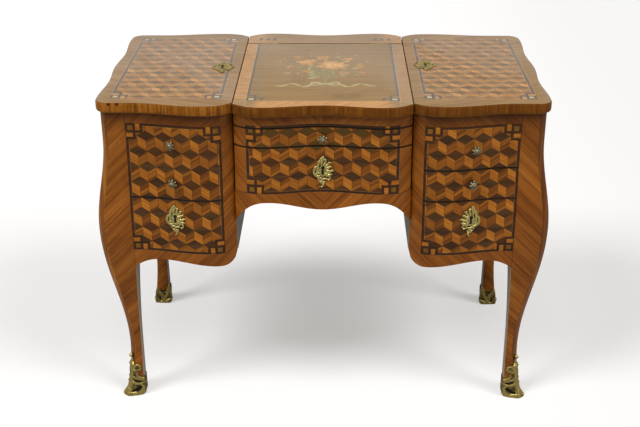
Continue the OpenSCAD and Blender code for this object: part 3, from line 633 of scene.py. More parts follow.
@dataclass(frozen=True)
class CubeParquetry:
    """Cube parquetry in three woods, framed by Greek-key stringing."""

    name: str
    field: Field
    lay: Lay = Lay.FRONT
    origin: tuple[float, float] = (0.0, 0.0)
    edge: float = 0.0224
    tall: float = 1.0
    bar: float = 0.0045
    border_angle: float = 135.0
    seed: float = 0.0
    line: Tones = EBONY
    heart: Tones = HEART_WOOD
    pale: Colour = (0.24, 0.115, 0.035)
    haze: float = 0.0
    fat: float = 0.0008
    woods: tuple[Tones, Tones, Tones] = (DARK_WOOD, ORANGE_WOOD, BROWN_WOOD)
    border: Tones = ROSEWOOD
    joints: tuple[float, ...] = ()
    moss: float = 0.0
    end: float = 0.0
    overhang_shade: float = 0.0
    faint: float = 0.0
    polish: Polish = Polish()

    def cubes(self, tree: Tree, u: Num, v: Num) -> tuple[Socket, Num]:
        """Colour and relief of the cubes at u, v."""
        s, w = self.edge, self.edge * math.sqrt(3)
        centres = []
        for shift in (0.0, 0.5):
            pu, pv = u / w - shift, v / (3 * s) - shift
            i, j = pu.round(), pv.round()
            x, y = pu - i, (pv - j) * 3
            centres.append((x, y, i + shift * 37, j, x * x * 3 + y * y))
        near = centres[0][4].above(centres[1][4])
        x, y, i, j = (centres[0][k] + (centres[1][k] - centres[0][k]) * near for k in range(4))
        top = (x + y).above(0.0) * (y - x).above(0.0)
        right = x.above(0.0)
        p = top * (x + y) + (1 - top) * abs(x) * 2
        q = top * (y - x) + (1 - top) * (abs(x) - y)
        kind = top * 2 + (1 - top) * right
        rank = tree.chance(i, j + self.seed * 11, kind)
        cx = top + (1 - top) * 0.866
        cy = (1 - top) * (right * 2 - 1) * 0.5
        along, across = u * cx + v * cy, v * cx - u * cy
        seed = i * 3.1 + j * 1.7 + kind
        deep, bright, warm = self.woods
        dark, relief = grain(tree, along, across, seed, deep)
        plain, _ = grain(tree, along, across, seed, bright)
        strip = (q * 4).floor()
        brown, _ = grain(tree, along, across, seed + strip * 2.3, warm)
        brown = tree.mix(tree.chance(i + strip, j, 5.0).step(0.35, 1.0) * 0.75, brown, bright.mid)
        dark = tree.mix(rank.step(0.5, 1.0) * 0.6, dark, warm.dark)
        if self.moss:
            dark = tree.mix(v.above(self.moss - self.origin[1]) * 0.75, dark, OLIVE_WOOD.mid)
        dark = tree.mix(tree.chance(i, j, 9.0).step(0.6, 0.9) * 0.6, dark, deep.dark)
        plain = tree.mix(rank.step(0.4, 1.0) * 0.75, plain, bright.dark)
        colour = tree.mix(top, tree.mix(right, plain, brown), dark)
        gap = p.low(1 - p).low(q.low(1 - q))
        joint = 1 - gap.step(0.008, 0.045)
        return tree.mix(joint * 0.62, colour, deep.dark), relief * (1 - joint)

    def build(self) -> Material:
        """The parquetry's material."""
        tree = Tree(self.name)
        x, y, z = tree.place()
        u, v = (x, z) if self.lay is Lay.FRONT else (x, y)
        side = side_of(x)
        colour, relief = self.cubes(tree, u - self.origin[0], (v - self.origin[1]) * (1 / self.tall))
        du = self.field.half_u - abs(u - self.field.mid_u)
        dv = self.field.half_v - abs(v - self.field.mid_v)
        near, far = du.low(dv), du.high(dv)
        key = Key(near, far, self.bar)
        border = Veneer("", self.lay, self.border_angle, self.border, seed=self.seed + 5)
        outer, _ = border.colour(tree, abs(u), v, side)
        cell, _ = grain(tree, u, v, side, self.woods[1])
        rule = key.folded(key.bar(key.REACH, ENDLESS, 0, 1))
        pale = key.bar(key.REACH + 1, ENDLESS, 1, 1.35)
        inner = key.bar(key.FOLD + 1, key.REACH, -ENDLESS, key.FOLD)
        heart_wood, _ = grain(tree, v, u, side, self.heart)
        if self.haze:
            blend = tree.noise(tree.point(u, v, side), 34.0, 3).step(0.35, 0.75) * self.haze
            colour = tree.mix(blend, colour, self.woods[2].mid)
        colour = tree.mix(inner.crisp(), colour, cell)
        colour = tree.mix(key.heart().crisp(), colour, heart_wood)
        line, _ = grain(tree, u, v, side + 2.0, self.line)
        colour = tree.mix(pale.crisp(), colour, self.pale)
        colour = tree.mix(near.crisp(), outer, colour)
        rim = abs(near + 0.0006 + self.fat).step(0.0009, 0.0006)
        colour = tree.mix(rim * (far - key.REACH * self.bar).step(0.0, 0.0004) * 0.8, colour, self.pale)
        drawn = (rule + self.fat).crisp()
        if self.faint:
            sides = (du - dv).above(0.0) * (far - (key.REACH + 1) * self.bar).above(0.0)
            drawn = drawn * (1 - sides * self.faint)
        colour = paint_overhang_shade(tree, tree.mix(drawn, colour, line), v, self.overhang_shade)
        # Painted shadow in the gaps between the fronts, at the given heights.
        for height in self.joints:
            colour = tree.mix(abs(v - height).step(0.0024, 0.0016), colour, SHADOW_WOOD.mid)
        # Painted shadow in the gap at each end of the field, above the centre drawer.
        if self.end:
            gap = abs(u).step(self.end - 0.0014, self.end - 0.0009) * v.above(C.centre_z)
            colour = tree.mix(gap, colour, SHADOW_WOOD.mid)
        return varnished(tree, colour, relief, self.polish)


@dataclass(frozen=True)
class EdgeBand:
    """Crossbanding that runs round the edge of the top, its grain upright."""

    name: str
    shade: float = 0.0
    nicks: tuple[float, ...] = ()
    polish: Polish = Polish(0.40, 0.0, 0.15, 0.05)

    def build(self) -> Material:
        """The band's material."""
        tree = Tree(self.name)
        x, y, z = tree.place()
        run = tree.attribute("run")
        leaf = (run / 0.041 + tree.noise(tree.point(run, 0.0, 0.0), 9.0, 1) * 1.4).floor()
        rank = tree.chance(leaf, 1.0, 2.0)
        colour, relief = grain(tree, z * 2.0, run * 0.8, leaf, BAND_WOOD)
        stripes = tree.noise(tree.point(run * 190.0, z * 6.0, leaf), 1.0, 1)
        colour = tree.mix(stripes.step(0.5, 0.8) * 0.35, colour, BAND_WOOD.dark)
        colour = tree.mix(rank.step(0.3, 1.0) * 0.35, colour, BAND_WOOD.dark)
        patch = tree.noise(tree.point(run * 22.0, z * 40.0, 4.0), 1.0, 2)
        colour = tree.mix(patch.step(0.5, 0.75) * 0.5, colour, BAND_WOOD.dark)
        for at in self.nicks:
            chip = tree.noise(tree.point(x, z, 1.0), 330.0, 3) * 0.008
            near = (0.0075 - abs(x - at) - chip).low(z - C.height + 0.0015 + chip) * (0.0 - y).above(0.0)
            colour = tree.mix(near.step(0.0, 0.0006) * 0.9, colour, SHADOW_WOOD.mid)
        # Painted shade: the band is darkened by the share given, for the right lid and the flap.
        colour = tree.mix(self.shade, colour, BAND_WOOD.dark)
        # Painted highlight along the lower arris and painted shade along the upper arris.
        low, high = C.case_top + C.lid_gap, C.height
        colour = tree.mix(z.step(low + 0.0034, low + 0.0012) * 0.4, colour, BAND_WOOD.light)
        colour = tree.mix(z.step(high - 0.0022, high - 0.0008) * 0.45, colour, BAND_WOOD.dark)
        return varnished(tree, colour, relief, self.polish, 0.6)


@dataclass(frozen=True)
class FlapMarquetry:
    """A quiet field of straight grain in a crossbanded border, with ruled lines and key corners."""

    name: str
    half_u: float = 0.164
    front_v: float = -0.2365
    back_v: float = 0.188
    line: float = 0.0044
    field_wood: Tones = Tones((0.235, 0.135, 0.048), (0.320, 0.188, 0.070), (0.385, 0.235, 0.095))
    olive: Colour = (0.28, 0.19, 0.075)
    polish: Polish = TOP_POLISH

    def border(self, tree: Tree, x: Num, y: Num) -> Socket:
        """Colour of the crossbanded border, with its mitred front corners."""
        sides, _ = grain(tree, x, y, (y / 0.07).floor(), PAINTED_SHEEN_ORANGE)
        front, _ = grain(tree, y * 0.7 + abs(x) * 0.7, x * 0.7 - y * 0.7, (x / 0.06).floor(), PAINTED_SHEEN_ORANGE)
        corner, _ = grain(tree, abs(x) * 0.7 - y * 0.7, abs(x) * 0.7 + y * 0.7, 3.0, PAINTED_SHEEN_BORDER)
        patch = tree.noise(tree.point(x * 2.0, y, 7.0), 26.0, 3).step(0.42, 0.68) * 0.5
        sides = tree.mix(patch, sides, PAINTED_SHEEN_BORDER.mid)
        sides = tree.mix(x.above(0.0) * 0.45 + 0.12, sides, PAINTED_SHEEN_BORDER.mid)
        low = (self.front_v + 0.010 - y).crisp(0.004)
        return tree.mix(low, sides, tree.mix((abs(x) - 0.142).crisp(0.012), front, corner))

    def build(self) -> Material:
        """The flap's material."""
        tree = Tree(self.name)
        x, y, _ = tree.place()
        colour, relief = grain(tree, x, y, 1.0, self.field_wood)
        olive = tree.noise(tree.point(x, y * 2.0, 0.0), 9.0, 3).step(0.45, 0.7) * 0.3
        colour = tree.mix(olive, colour, self.olive)
        du = self.half_u - abs(x)
        dv = (y - self.front_v).low(self.back_v - y + 1.0)
        b = self.line
        key = Key(du.low(dv), du.high(dv), b)
        rule = key.folded(du.low(b - du).low(dv - key.REACH * b))
        inner = (0.0009 - abs(du - 0.0135)).high(0.0012 - abs(du - 0.0222)).low(dv - 4.0 * b).low(-x)
        thin = (0.0006 - abs(du + 0.0012)).high(0.0006 - abs(dv + 0.0011))
        hinge = (y - 0.1885).low(0.1915 - y)
        colour = tree.mix(key.near.crisp(), self.border(tree, x, y), colour)
        colour = tree.mix(key.heart().crisp(), colour, BOXWOOD.mid)
        colour = tree.mix(thin.crisp() * 0.5, colour, BOXWOOD.mid)
        colour = tree.mix(inner.crisp() * 0.75, colour, PAINTED_SHEEN_SLATE.light)
        colour = tree.mix(hinge.crisp(0.0004) * 0.3, colour, BOXWOOD.mid)
        colour = tree.mix((rule + 0.0005).crisp() * 0.95, colour, PAINTED_SHEEN_SLATE.mid)
        return varnished(tree, colour, relief, self.polish)


@dataclass(frozen=True)
class StripVeneer:
    """The back strip: long straight grain, with what is left of the key at each end."""

    name: str
    polish: Polish = TOP_POLISH

    def build(self) -> Material:
        """The strip's material."""
        tree = Tree(self.name)
        x, y, _ = tree.place()
        colour, relief = grain(tree, x + y * 0.2, y, 2.0, PAINTED_SHEEN_BORDER)
        ends, _ = grain(tree, abs(x) * 0.7 + y * 0.7, y * 0.7 - abs(x) * 0.7, 5.0, PAINTED_SHEEN_ORANGE)
        colour = tree.mix((abs(x) - 0.13).step(0.0, 0.03) * 0.6, colour, ends)
        colour = tree.mix((0.204 - y).step(0.0, 0.006) * 0.35, colour, PAINTED_SHEEN_ORANGE.light)
        for middle in (0.126, 0.142, 0.160):
            piece = (0.0040 - abs(abs(x) - middle)).low(0.0095 - abs(y - 0.229))
            colour = tree.mix(piece.crisp(0.0003) * 0.85, colour, PAINTED_SHEEN_SLATE.dark)
        return varnished(tree, colour, relief, self.polish)


@dataclass(frozen=True)
class PlainWood:
    """A solid or painted wood of the inside, with grain along one axis."""

    name: str
    tones: Tones
    axis: int = 1
    rough: float = 0.62
    coat: float = 0.0

    def build(self) -> Material:
        """The wood's material."""
        tree = Tree(self.name)
        place = tree.place()
        along = place[self.axis]
        others = [p for k, p in enumerate(place) if k != self.axis]
        colour, relief = grain(tree, along, others[0] + others[1] * 0.9, 4.0, self.tones)
        stain = tree.noise(tree.point(*place), 14.0, 4, 0.6)
        colour = tree.mix(stain.step(0.5, 0.8) * 0.35, colour, self.tones.dark)
        return tree.finish(
            {"Base Color": colour, "Roughness": self.rough + (stain - 0.5) * 0.2, "Coat Weight": self.coat},
            relief,
            0.0003,
        )


@dataclass(frozen=True)
class Metal:
    """A cast, chased or filed metal, darker in its hollows and where dirt stays."""

    name: str
    bright: Colour
    dull: Colour
    rough: float = 0.32
    scale: float = 260.0
    depth: float = 0.0004
    chased: bool = False

    def build(self) -> Material:
        """The metal's material."""
        tree = Tree(self.name)
        at = tree.point(*tree.place())
        cast = tree.noise(at, self.scale, 4, 0.6)
        dirt = tree.noise(at, self.scale * 0.28, 4, 0.65)
        if self.chased:
            hollow = 1 - tree.attribute("run").step(0.16, 0.60)
            dirt = dirt * 0.5 + cast * 0.22 + hollow * 0.36 + 0.05
        colour = tree.mix(dirt.step(0.42, 0.68), self.bright, self.dull)
        return tree.finish(
            {
                "Base Color": colour,
                "Metallic": 1 - dirt.step(0.5, 0.75) * 0.35,
                "Roughness": self.rough + dirt.step(0.4, 0.7) * 0.25,
            },
            cast,
            self.depth,
        )


@dataclass(frozen=True)
class SilveredGlass:
    """Old mirror glass, faintly clouded near its edges."""

    name: str

    def build(self) -> Material:
        """The mirror's material."""
        tree = Tree(self.name)
        at = tree.point(*tree.place())
        cloud = tree.noise(at, 16.0, 5, 0.6)
        colour = tree.mix(cloud.step(0.6, 0.8) * 0.5, (0.82, 0.84, 0.84), (0.42, 0.40, 0.36))
        values = {"Base Color": colour, "Metallic": 1.0, "Roughness": 0.04 + cloud.step(0.55, 0.8) * 0.12}
        return tree.finish(values, cloud, 0.00002)


# ---------------------------------------------------------------- meshes


class Shell:
    """Gathers the points and faces of one piece, each face with the place of its finish."""

    def __init__(self) -> None:
        """Starts empty."""
        self.points: list[Sequence[float]] = []
        self.faces: list[Sequence[int]] = []
        self.kinds: list[int] = []
        self.runs: list[float] = []

    def add_points(self, points: Points, runs: Sequence[float] | None = None) -> int:
        """Adds points and returns the number of the first."""
        start = len(self.points)
        flat = np.asarray(points, float).reshape(-1, 3)
        self.points.extend(map(tuple, flat))
        self.runs.extend(runs if runs is not None else [0.0] * len(flat))
        return start

    def grid(self, points: Points, kind: int = 0, loop: bool = False, runs: Points | None = None) -> None:
        """Adds quads between neighbours of an n x m grid; loop joins the last column to the first."""
        n, m = points.shape[:2]
        start = self.add_points(points, None if runs is None else list(np.asarray(runs).reshape(-1)))
        for i in range(n - 1):
            for j in range(m if loop else m - 1):
                k = (j + 1) % m
                self.faces.append(
                    (start + i * m + j, start + i * m + k, start + (i + 1) * m + k, start + (i + 1) * m + j)
                )
                self.kinds.append(kind)

    def polygon(self, points: Points, kind: int = 0) -> None:
        """Adds one flat face."""
        start = self.add_points(points)
        self.faces.append(tuple(range(start, start + len(points))))
        self.kinds.append(kind)

    def close(self, skin: Points, axis: int, inner: float, last: int = 1) -> None:
        """Closes a skin with edges and a flat rear.

        Args:
            skin: Its n x m points.
            axis: The axis that the rear lies across.
            inner: Place of the rear on that axis.
            last: Number of the rear's finish.
        """
        ring = np.concatenate([skin[:, 0], skin[-1, 1:], skin[::-1, -1][1:], skin[0, ::-1][1:-1]])
        rear = ring.copy()
        rear[:, axis] = inner
        self.grid(np.stack([ring, rear]), 1, True)
        self.polygon(rear, last)

    def build(self, name: str, finishes: Sequence[Material], sharp: float = 32.0) -> bpy.types.Object:
        """Makes the piece.

        Args:
            name: The piece's name.
            finishes: Its materials, in the order of the faces' numbers.
            sharp: Edges that turn by more than this many degrees stay crisp.

        Returns:
            The object, with its seams closed and its faces outwards.
        """
        mesh = bpy.data.meshes.new(name)
        mesh.from_pydata(self.points, [], self.faces)
        mesh.polygons.foreach_set("material_index", self.kinds)
        run = mesh.attributes.new("run", "FLOAT", "POINT")
        run.data.foreach_set("value", self.runs)
        return placed(mesh, name, finishes, sharp, 2e-6)


def placed(
    mesh: bpy.types.Mesh, name: str, finishes: Sequence[Material], sharp: float, weld: float
) -> bpy.types.Object:
    """Sets a mesh in the scene as a piece, its doubles merged and its faces outwards.

    Args:
        mesh: The mesh.
        name: The piece's name.
        finishes: Materials that the mesh doesn't have yet.
        sharp: Edges that turn by more than this many degrees stay crisp.
        weld: Points closer than this are merged.

    Returns:
        The piece.
    """
    work = bmesh.new()
    work.from_mesh(mesh)
    bmesh.ops.remove_doubles(work, verts=work.verts, dist=weld)
    bmesh.ops.dissolve_degenerate(work, edges=work.edges, dist=1e-7)
    bmesh.ops.recalc_face_normals(work, faces=work.faces)
    work.to_mesh(mesh)
    work.free()
    for finish in finishes:
        mesh.materials.append(finish)
    mesh.polygons.foreach_set("use_smooth", [True] * len(mesh.polygons))
    mesh.set_sharp_from_angle(angle=math.radians(sharp))
    piece = bpy.data.objects.new(name, mesh)
    bpy.context.scene.collection.objects.link(piece)
    return piece


def spaced(a: float, b: float, step: float, arris: float) -> Points:
    """Positions from a to b about a step apart, closer where the arrises are rounded."""
    n = max(2, round(abs(b - a) / step))
    middle = np.linspace(a, b, n + 1)
    if not arris:
        return middle
    rim = np.array([0.0, 0.12, 0.4, 1.0]) * arris
    inner = middle[(middle > a + 1.5 * arris) & (middle < b - 1.5 * arris)]
    return np.concatenate([a + rim, inner, (b - rim)[::-1]])


def rounded(distance: Points, arris: float) -> Points:
    """How far a surface falls back near an edge that is rounded by arris."""
    t = np.clip(distance / arris, 0, 1)
    return arris * (1 - np.sqrt(np.clip(1 - (1 - t) ** 2, 0, 1)))


def built(finishes: dict) -> dict[str, Material]:
    """Materials of finishes, by the same names."""
    return {name: finish.build() for name, finish in finishes.items()}


def wear(piece: bpy.types.Object, body: str, slot: str, *nodes: str) -> bpy.types.Object:
    """Puts a finished piece on its body in place of CAD nodes, and reports it."""
    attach(piece, body)
    if nodes:
        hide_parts(*nodes)
    log.info("%s: %d faces on %s", piece.name, len(piece.data.polygons), body)
    return piece


def front_panel(
    xs: tuple[float, float],
    low: Callable[[Points], Points],
    top: float,
    finishes: Sequence[Material],
    name: str,
    face: int = FRONT,
    arris: float = 0.0,
    step: float = 0.006,
    rim: int = 0,
) -> bpy.types.Object:
    """A curved panel of the front or the back.

    Args:
        xs: Its two ends along X.
        low: Its lower edge at x.
        top: Its upper edge.
        finishes: The veneer, and the wood of its edges and back.
        name: The piece's name.
        face: FRONT or BACK.
        arris: Radius of its rounded arrises.
        step: Spacing of its points.
        rim: How many rows of faces along its edges carry the finish of the edges.

    Returns:
        The piece.
    """
    columns = spaced(xs[0], xs[1], step, arris)
    lows = low(columns)
    middle = float(low(columns[len(columns) // 2]))
    rows = spaced(0.0, 1.0, step / max(0.02, top - float(np.min(lows))), arris / (top - middle))
    x, t = np.meshgrid(columns, rows, indexing="ij")
    base = lows[:, None] + 0 * t
    z = base + (top - base) * t
    depth = C.case_y(x, z, face)
    if arris:
        edge = np.minimum(np.minimum(x - xs[0], xs[1] - x), np.minimum(z - base, top - z))
        depth = depth - rounded(edge, arris)
    skin = np.stack([x, face * depth, z], -1)
    shell = Shell()
    shell.grid(skin)
    n, m = skin.shape[0] - 1, skin.shape[1] - 1
    shell.kinds = [int(min(i, n - 1 - i, j, m - 1 - j) < rim) for i in range(n) for j in range(m)]
    shell.close(skin, 1, face * (C.front_in if face == FRONT else C.back_in), len(finishes) - 1)
    return shell.build(name, finishes)


# ---------------------------------------------------------------- case


@dataclass
class Case:
    """The carcase: legs, side and back panels, stiles, aprons and rails."""

    arris: float = 0.0014
    shoe_z: float = 0.038
    sole_z: float = 0.003
    fit: float = 0.0001
    fine: float = 0.004
    wood: dict[str, Material] = field(default_factory=dict, repr=False)

    def dress(self) -> None:
        """Builds every visible piece of the carcase."""
        bleached = Tones((0.17, 0.13, 0.09), (0.29, 0.235, 0.165), (0.40, 0.33, 0.24))
        # The shares below paint shade on fronts, stiles, rails, sides and cants under the top's overhang.
        self.wood = built({
            "front": Veneer("rosewood_front", overhang_shade=0.45),
            "stile": Veneer("rosewood_stile", overhang_shade=0.45, seam=C.seam),
            "rail": Veneer("rosewood_rail", overhang_shade=0.6),
            "side": Veneer("rosewood_side", Lay.SIDE, 45.0, seed=2, overhang_shade=0.45),
            "centre": Veneer("rosewood_centre", angle=45.0, seed=4, leaf=0.07),
            # The left cant gets the lighter band wood and the right cant the darker brown wood: painted light
            # on the left cant, painted shade on the right one.
            "left cant": Veneer("cant_left", angle=90.0, tones=BAND_WOOD, overhang_shade=0.45),
            "right cant": Veneer("cant_right", angle=90.0, tones=BROWN_WOOD, overhang_shade=0.45),
            "bleached": PlainWood("leg_inner_face", bleached, 2, 0.5),
            "oak": PlainWood("carcase_oak", OAK),
            # Near-black wood on the leg under the shoe: painted shade behind its piercings.
            "shaded": PlainWood("leg_painted_shade_under_shoe", SHADOW_WOOD, 2, 0.8),
        })
        for s, side in SIDES:
            for f, end in ENDS:
                self.leg(s, f, f"leg_{end}_{side}")
            self.side_panel(s, f"side_panel_{side}")
        self.back()
        self.front_frame()

    def woods(self, *names: str) -> list[Material]:
        """Some of the case's woods."""
        return [self.wood[name] for name in names]

    def leg_ring(self, s: int, f: int, z: float) -> tuple[Points, list[int]]:
        """Section of a leg at one height, with the number of each of its sides.

        Args:
            s: LEFT or RIGHT.
            f: FRONT or BACK.
            z: Height.

        Returns:
            Its points in a closed ring, and the side that starts at each point.
        """
        corners = C.leg_corners(z, f)
        sides, points = [], []
        for k, (a, b, count) in enumerate(zip(corners, np.roll(corners, -1, 0), (2, 6, 2, 3, 3))):
            length = np.linalg.norm(b - a)
            r = min(self.arris, length / 3) / length
            for t in [r, *np.linspace(0, 1, count + 1)[1:-1], 1 - r]:
                p = a + (b - a) * t
                if k == 1:
                    p[0] = float(C.case_x(p[1], z))
                points.append((s * p[0], f * p[1], z))
                sides.append(k)
        return np.array(points), sides

    def leg(self, s: int, f: int, node: str) -> None:
        """One leg with its corner post, from the sole to the lids."""
        foot = np.linspace(self.sole_z, C.ankle_z, 22)[:-1]
        zs = np.concatenate([foot, np.linspace(C.ankle_z, C.case_top, 100)])
        sections = [self.leg_ring(s, f, float(z)) for z in zs]
        rings, sides = np.array([ring for ring, _ in sections]), sections[0][1]
        wood = self.woods("front", "side", "bleached", "left cant", "right cant", "oak", "shaded")
        front, side, bleached, left_cant, right_cant, oak, shaded = range(len(wood))
        outer = [front, side, left_cant if s == LEFT else right_cant, front, bleached]
        shell = Shell()
        shell.grid(rings, 0, True)
        shell.kinds = [
            shaded if z < self.shoe_z else oak if z > C.low_z and k in (0, 4) else outer[k]
            for z in zs[:-1]
            for k in sides
        ]
        shell.polygon(rings[0], side)
        shell.polygon(rings[-1], oak)
        wear(shell.build(f"{node}_veneer", wood, 50), "carcase", "carcase_veneer", node)

    def side_panel(self, s: int, node: str) -> None:
        """One bombe side between its two legs."""
        ys = np.linspace(-C.post_in_front, C.post_in_back, 70)
        y, t = np.meshgrid(ys, np.linspace(0, 1, 60), indexing="ij")
        low = C.side_low(ys)[:, None] + 0 * t
        z = low + (C.case_top - low) * t
        skin = np.stack([s * C.case_x(y, z), y, z], -1)
        shell = Shell()
        shell.grid(skin)
        shell.close(skin, 0, s * C.side_in)
        wear(shell.build(f"{node}_veneer", self.woods("side", "oak")), "carcase", "carcase_veneer", node)

    def back(self) -> None:
        """The back panel, cut out over the kneehole."""
        ends = (-C.panel_out, -C.seam, C.seam, C.panel_out)
        spans = [np.linspace(a, b, 44) for a, b in zip(ends, ends[1:])]
        lows = [low(xs) for low, xs in zip((C.pedestal_low, C.arch, C.pedestal_low), spans)]
        base = np.concatenate(lows)[:, None]
        z = base + (C.case_top - base) * np.linspace(0, 1, 60)
        x = np.concatenate(spans)[:, None] + 0 * z
        skin = np.stack([x, C.case_y(x, z, BACK), z], -1)
        shell = Shell()
        shell.grid(skin)
        shell.close(skin, 1, C.back_in)
        piece = shell.build("back_panel_veneer", self.woods("front", "oak"))
        wear(piece, "carcase", "carcase_veneer", "back_panel")

    def front_frame(self) -> None:
        """Stiles, rails and aprons that frame the drawers."""
        for s, side in SIDES:
            ends, node = tuple(sorted((s * C.seam, s * C.panel_in))), f"inner_stile_{side}"
            wood = self.woods("stile", "oak")
            stile = front_panel(ends, C.pedestal_low, C.case_top, wood, f"{node}_veneer", step=self.fine)
            wear(stile, "carcase", "carcase_veneer", node)
        aprons, rails = [], []
        for s, side in SIDES:
            ends = tuple(sorted((s * C.panel_in, s * C.panel_out)))
            wood, name = self.woods("front", "oak"), f"side_apron_{side}_veneer"
            aprons.append(front_panel(ends, C.pedestal_low, C.low_z, wood, name, step=self.fine))
            wood, name = self.woods("rail", "oak"), f"side_top_rail_{side}_veneer"
            rails.append(front_panel(ends, level(C.rail_z), C.case_top, wood, name))
        for pair, node in ((aprons, "side_aprons"), (rails, "side_top_rails")):
            for piece in pair:
                wear(piece, "carcase", "carcase_veneer", node)
        inside, wood = (-C.seam + self.fit, C.seam - self.fit), self.woods("centre", "oak")
        apron = front_panel(inside, C.arch, C.centre_z, wood, "centre_apron_veneer", step=self.fine)
        wear(apron, "carcase", "carcase_veneer", "centre_apron")


# ---------------------------------------------------------------- top


@dataclass
class Top:
    """The two lids, the mirror flap and the fixed back strip."""

    points_per_curve: int = 90
    crown: int = 4
    mid_x: float = 0.338
    seam_near: float = 0.0012
    hinge_near: float = 0.0006
    profile: tuple[tuple[float, float], ...] = (
        (0.0050, 0.0), (0.0026, 0.0006), (0.0011, 0.0018), (0.0003, 0.0034), (0.0, 0.0054),
        (0.0, 0.0105), (0.0, 0.0168), (0.0, 0.0174), (0.0, 0.0185), (0.0, 0.0194),
        (0.0002, 0.0203), (0.0006, 0.0215), (0.0013, 0.0223), (0.0022, 0.0227),
    )

    def dress(self) -> None:
        """Builds every piece of the top."""
        # The right lid's and the flap's bands get painted shade.
        bands = {
            LEFT: EdgeBand("edge_crossband_left", nicks=(-0.4555, -0.4375)).build(),
            RIGHT: EdgeBand("edge_crossband_right", 0.62).build(),
        }
        band = EdgeBand("edge_crossband_flap", 0.58).build()
        dark = PlainWood("seam_edge_wood", EDGE_WOOD).build()
        oak = PlainWood("lid_oak", Tones((0.10, 0.05, 0.02), (0.2, 0.11, 0.045), (0.3, 0.18, 0.085))).build()
        for s, side in SIDES:
            field_of = Field(s * self.mid_x, 0.007, 0.120, 0.229)
            top = CubeParquetry(
                f"lid_parquetry_{side}", field_of, Lay.TOP, (s * self.mid_x, 0.01), border_angle=20.0,
                seed=3 + s, line=PAINTED_SHEEN_SLATE, heart=BOXWOOD, pale=PAINTED_SHEEN_ORANGE.mid, haze=0.7, faint=0.85,
                woods=(PAINTED_SHEEN_DARK, PAINTED_SHEEN_ORANGE, PAINTED_SHEEN_BROWN), border=PAINTED_SHEEN_BORDER,
                polish=TOP_POLISH if s == LEFT else Polish(0.38, 0.04, 0.2, 0.16),
            ).build()
            outline = self.lid_outline()
            outline[:, 0] *= s
            piece = self.board(outline, f"lid_{side}_veneer", [top, bands[s], oak, dark])
            wear(piece, f"{side}_lid", "lid_parquetry", f"lid_{side}")
        marquetry = FlapMarquetry("flap_marquetry").build()
        flap = self.board(self.flap_outline(), "mirror_flap_veneer", [marquetry, band, oak, dark])
        wear(flap, "flap", "flap_marquetry", "mirror_flap")
        strip = StripVeneer("strip_veneer").build()
        board = self.board(self.strip_outline(), "back_strip_veneer", [strip, band, oak, dark], True)
        wear(board, "carcase", "flap_marquetry", "back_strip")

    def lid_outline(self) -> Points:
        """Outline of the right lid, anticlockwise from the back of its seam."""
        n = self.points_per_curve
        x_c = C.half_w - C.corner_r
        y_f = float(C.edge_y(C.flat_x, FRONT)) - C.corner_r
        y_b = float(C.edge_y(C.flat_x, BACK)) - C.corner_r

        def arc(cx: float, cy: float, rx: float, start: float) -> Points:
            """A quarter round of a corner."""
            a = np.radians(np.linspace(start, start + 90, 15))
            return np.stack([cx + rx * np.cos(a), cy + C.corner_r * np.sin(a)], -1)

        xs = np.linspace(C.seam_out, x_c, n)[:-1]
        ys = np.linspace(-y_f, y_b, n)[1:-1]
        seam = np.linspace(float(C.edge_y(C.seam_out, BACK)), -float(C.edge_y(C.seam_out, FRONT)), 40)[1:-1]
        return np.concatenate([
            np.stack([0 * seam + C.seam_out, seam], -1),
            np.stack([xs, -C.edge_y(xs, FRONT)], -1),
            arc(x_c, -y_f, float(C.edge_x(y_f)) - x_c, -90),
            np.stack([C.edge_x(ys), ys], -1),
            arc(x_c, y_b, float(C.edge_x(y_b)) - x_c, 0),
            np.stack([xs[::-1], C.edge_y(xs[::-1], BACK)], -1),
        ])

    def flap_outline(self) -> Points:
        """Outline of the flap, anticlockwise from its back left corner."""
        rear = C.flap_axis_y - C.leaf_gap
        xs = np.linspace(-C.seam_in, C.seam_in, 2 * self.points_per_curve)
        ys = np.linspace(rear, -float(C.edge_y(C.seam_in, FRONT)), 30)[1:-1]
        return np.concatenate([
            np.stack([xs[::-1], 0 * xs + rear], -1),
            np.stack([0 * ys - C.seam_in, ys], -1),
            np.stack([xs, -C.edge_y(xs, FRONT)], -1),
            np.stack([0 * ys + C.seam_in, ys[::-1]], -1),
        ])

    def strip_outline(self) -> Points:
        """Outline of the back strip, anticlockwise from its front left corner."""
        near = C.flap_axis_y + C.leaf_gap
        xs = np.linspace(-C.seam_in, C.seam_in, 2 * self.points_per_curve)
        return np.concatenate([
            np.stack([xs, 0 * xs + near], -1),
            np.stack([xs[::-1], C.edge_y(xs[::-1], BACK)], -1),
        ])

    def inset(self, outline: Points, distance: float) -> Points:
        """An outline moved inwards all round."""
        before = outline - np.roll(outline, 1, 0)
        after = np.roll(outline, -1, 0) - outline
        n0 = np.stack([-before[:, 1], before[:, 0]], -1)
        n1 = np.stack([-after[:, 1], after[:, 0]], -1)
        n0 /= np.linalg.norm(n0, axis=1)[:, None]
        n1 /= np.linalg.norm(n1, axis=1)[:, None]
        turn = 1 + (n0 * n1).sum(1)
        area = (outline[:, 0] * np.roll(outline[:, 1], -1) - np.roll(outline[:, 0], -1) * outline[:, 1]).sum()
        return outline + np.sign(area) * distance * (n0 + n1) / turn[:, None]

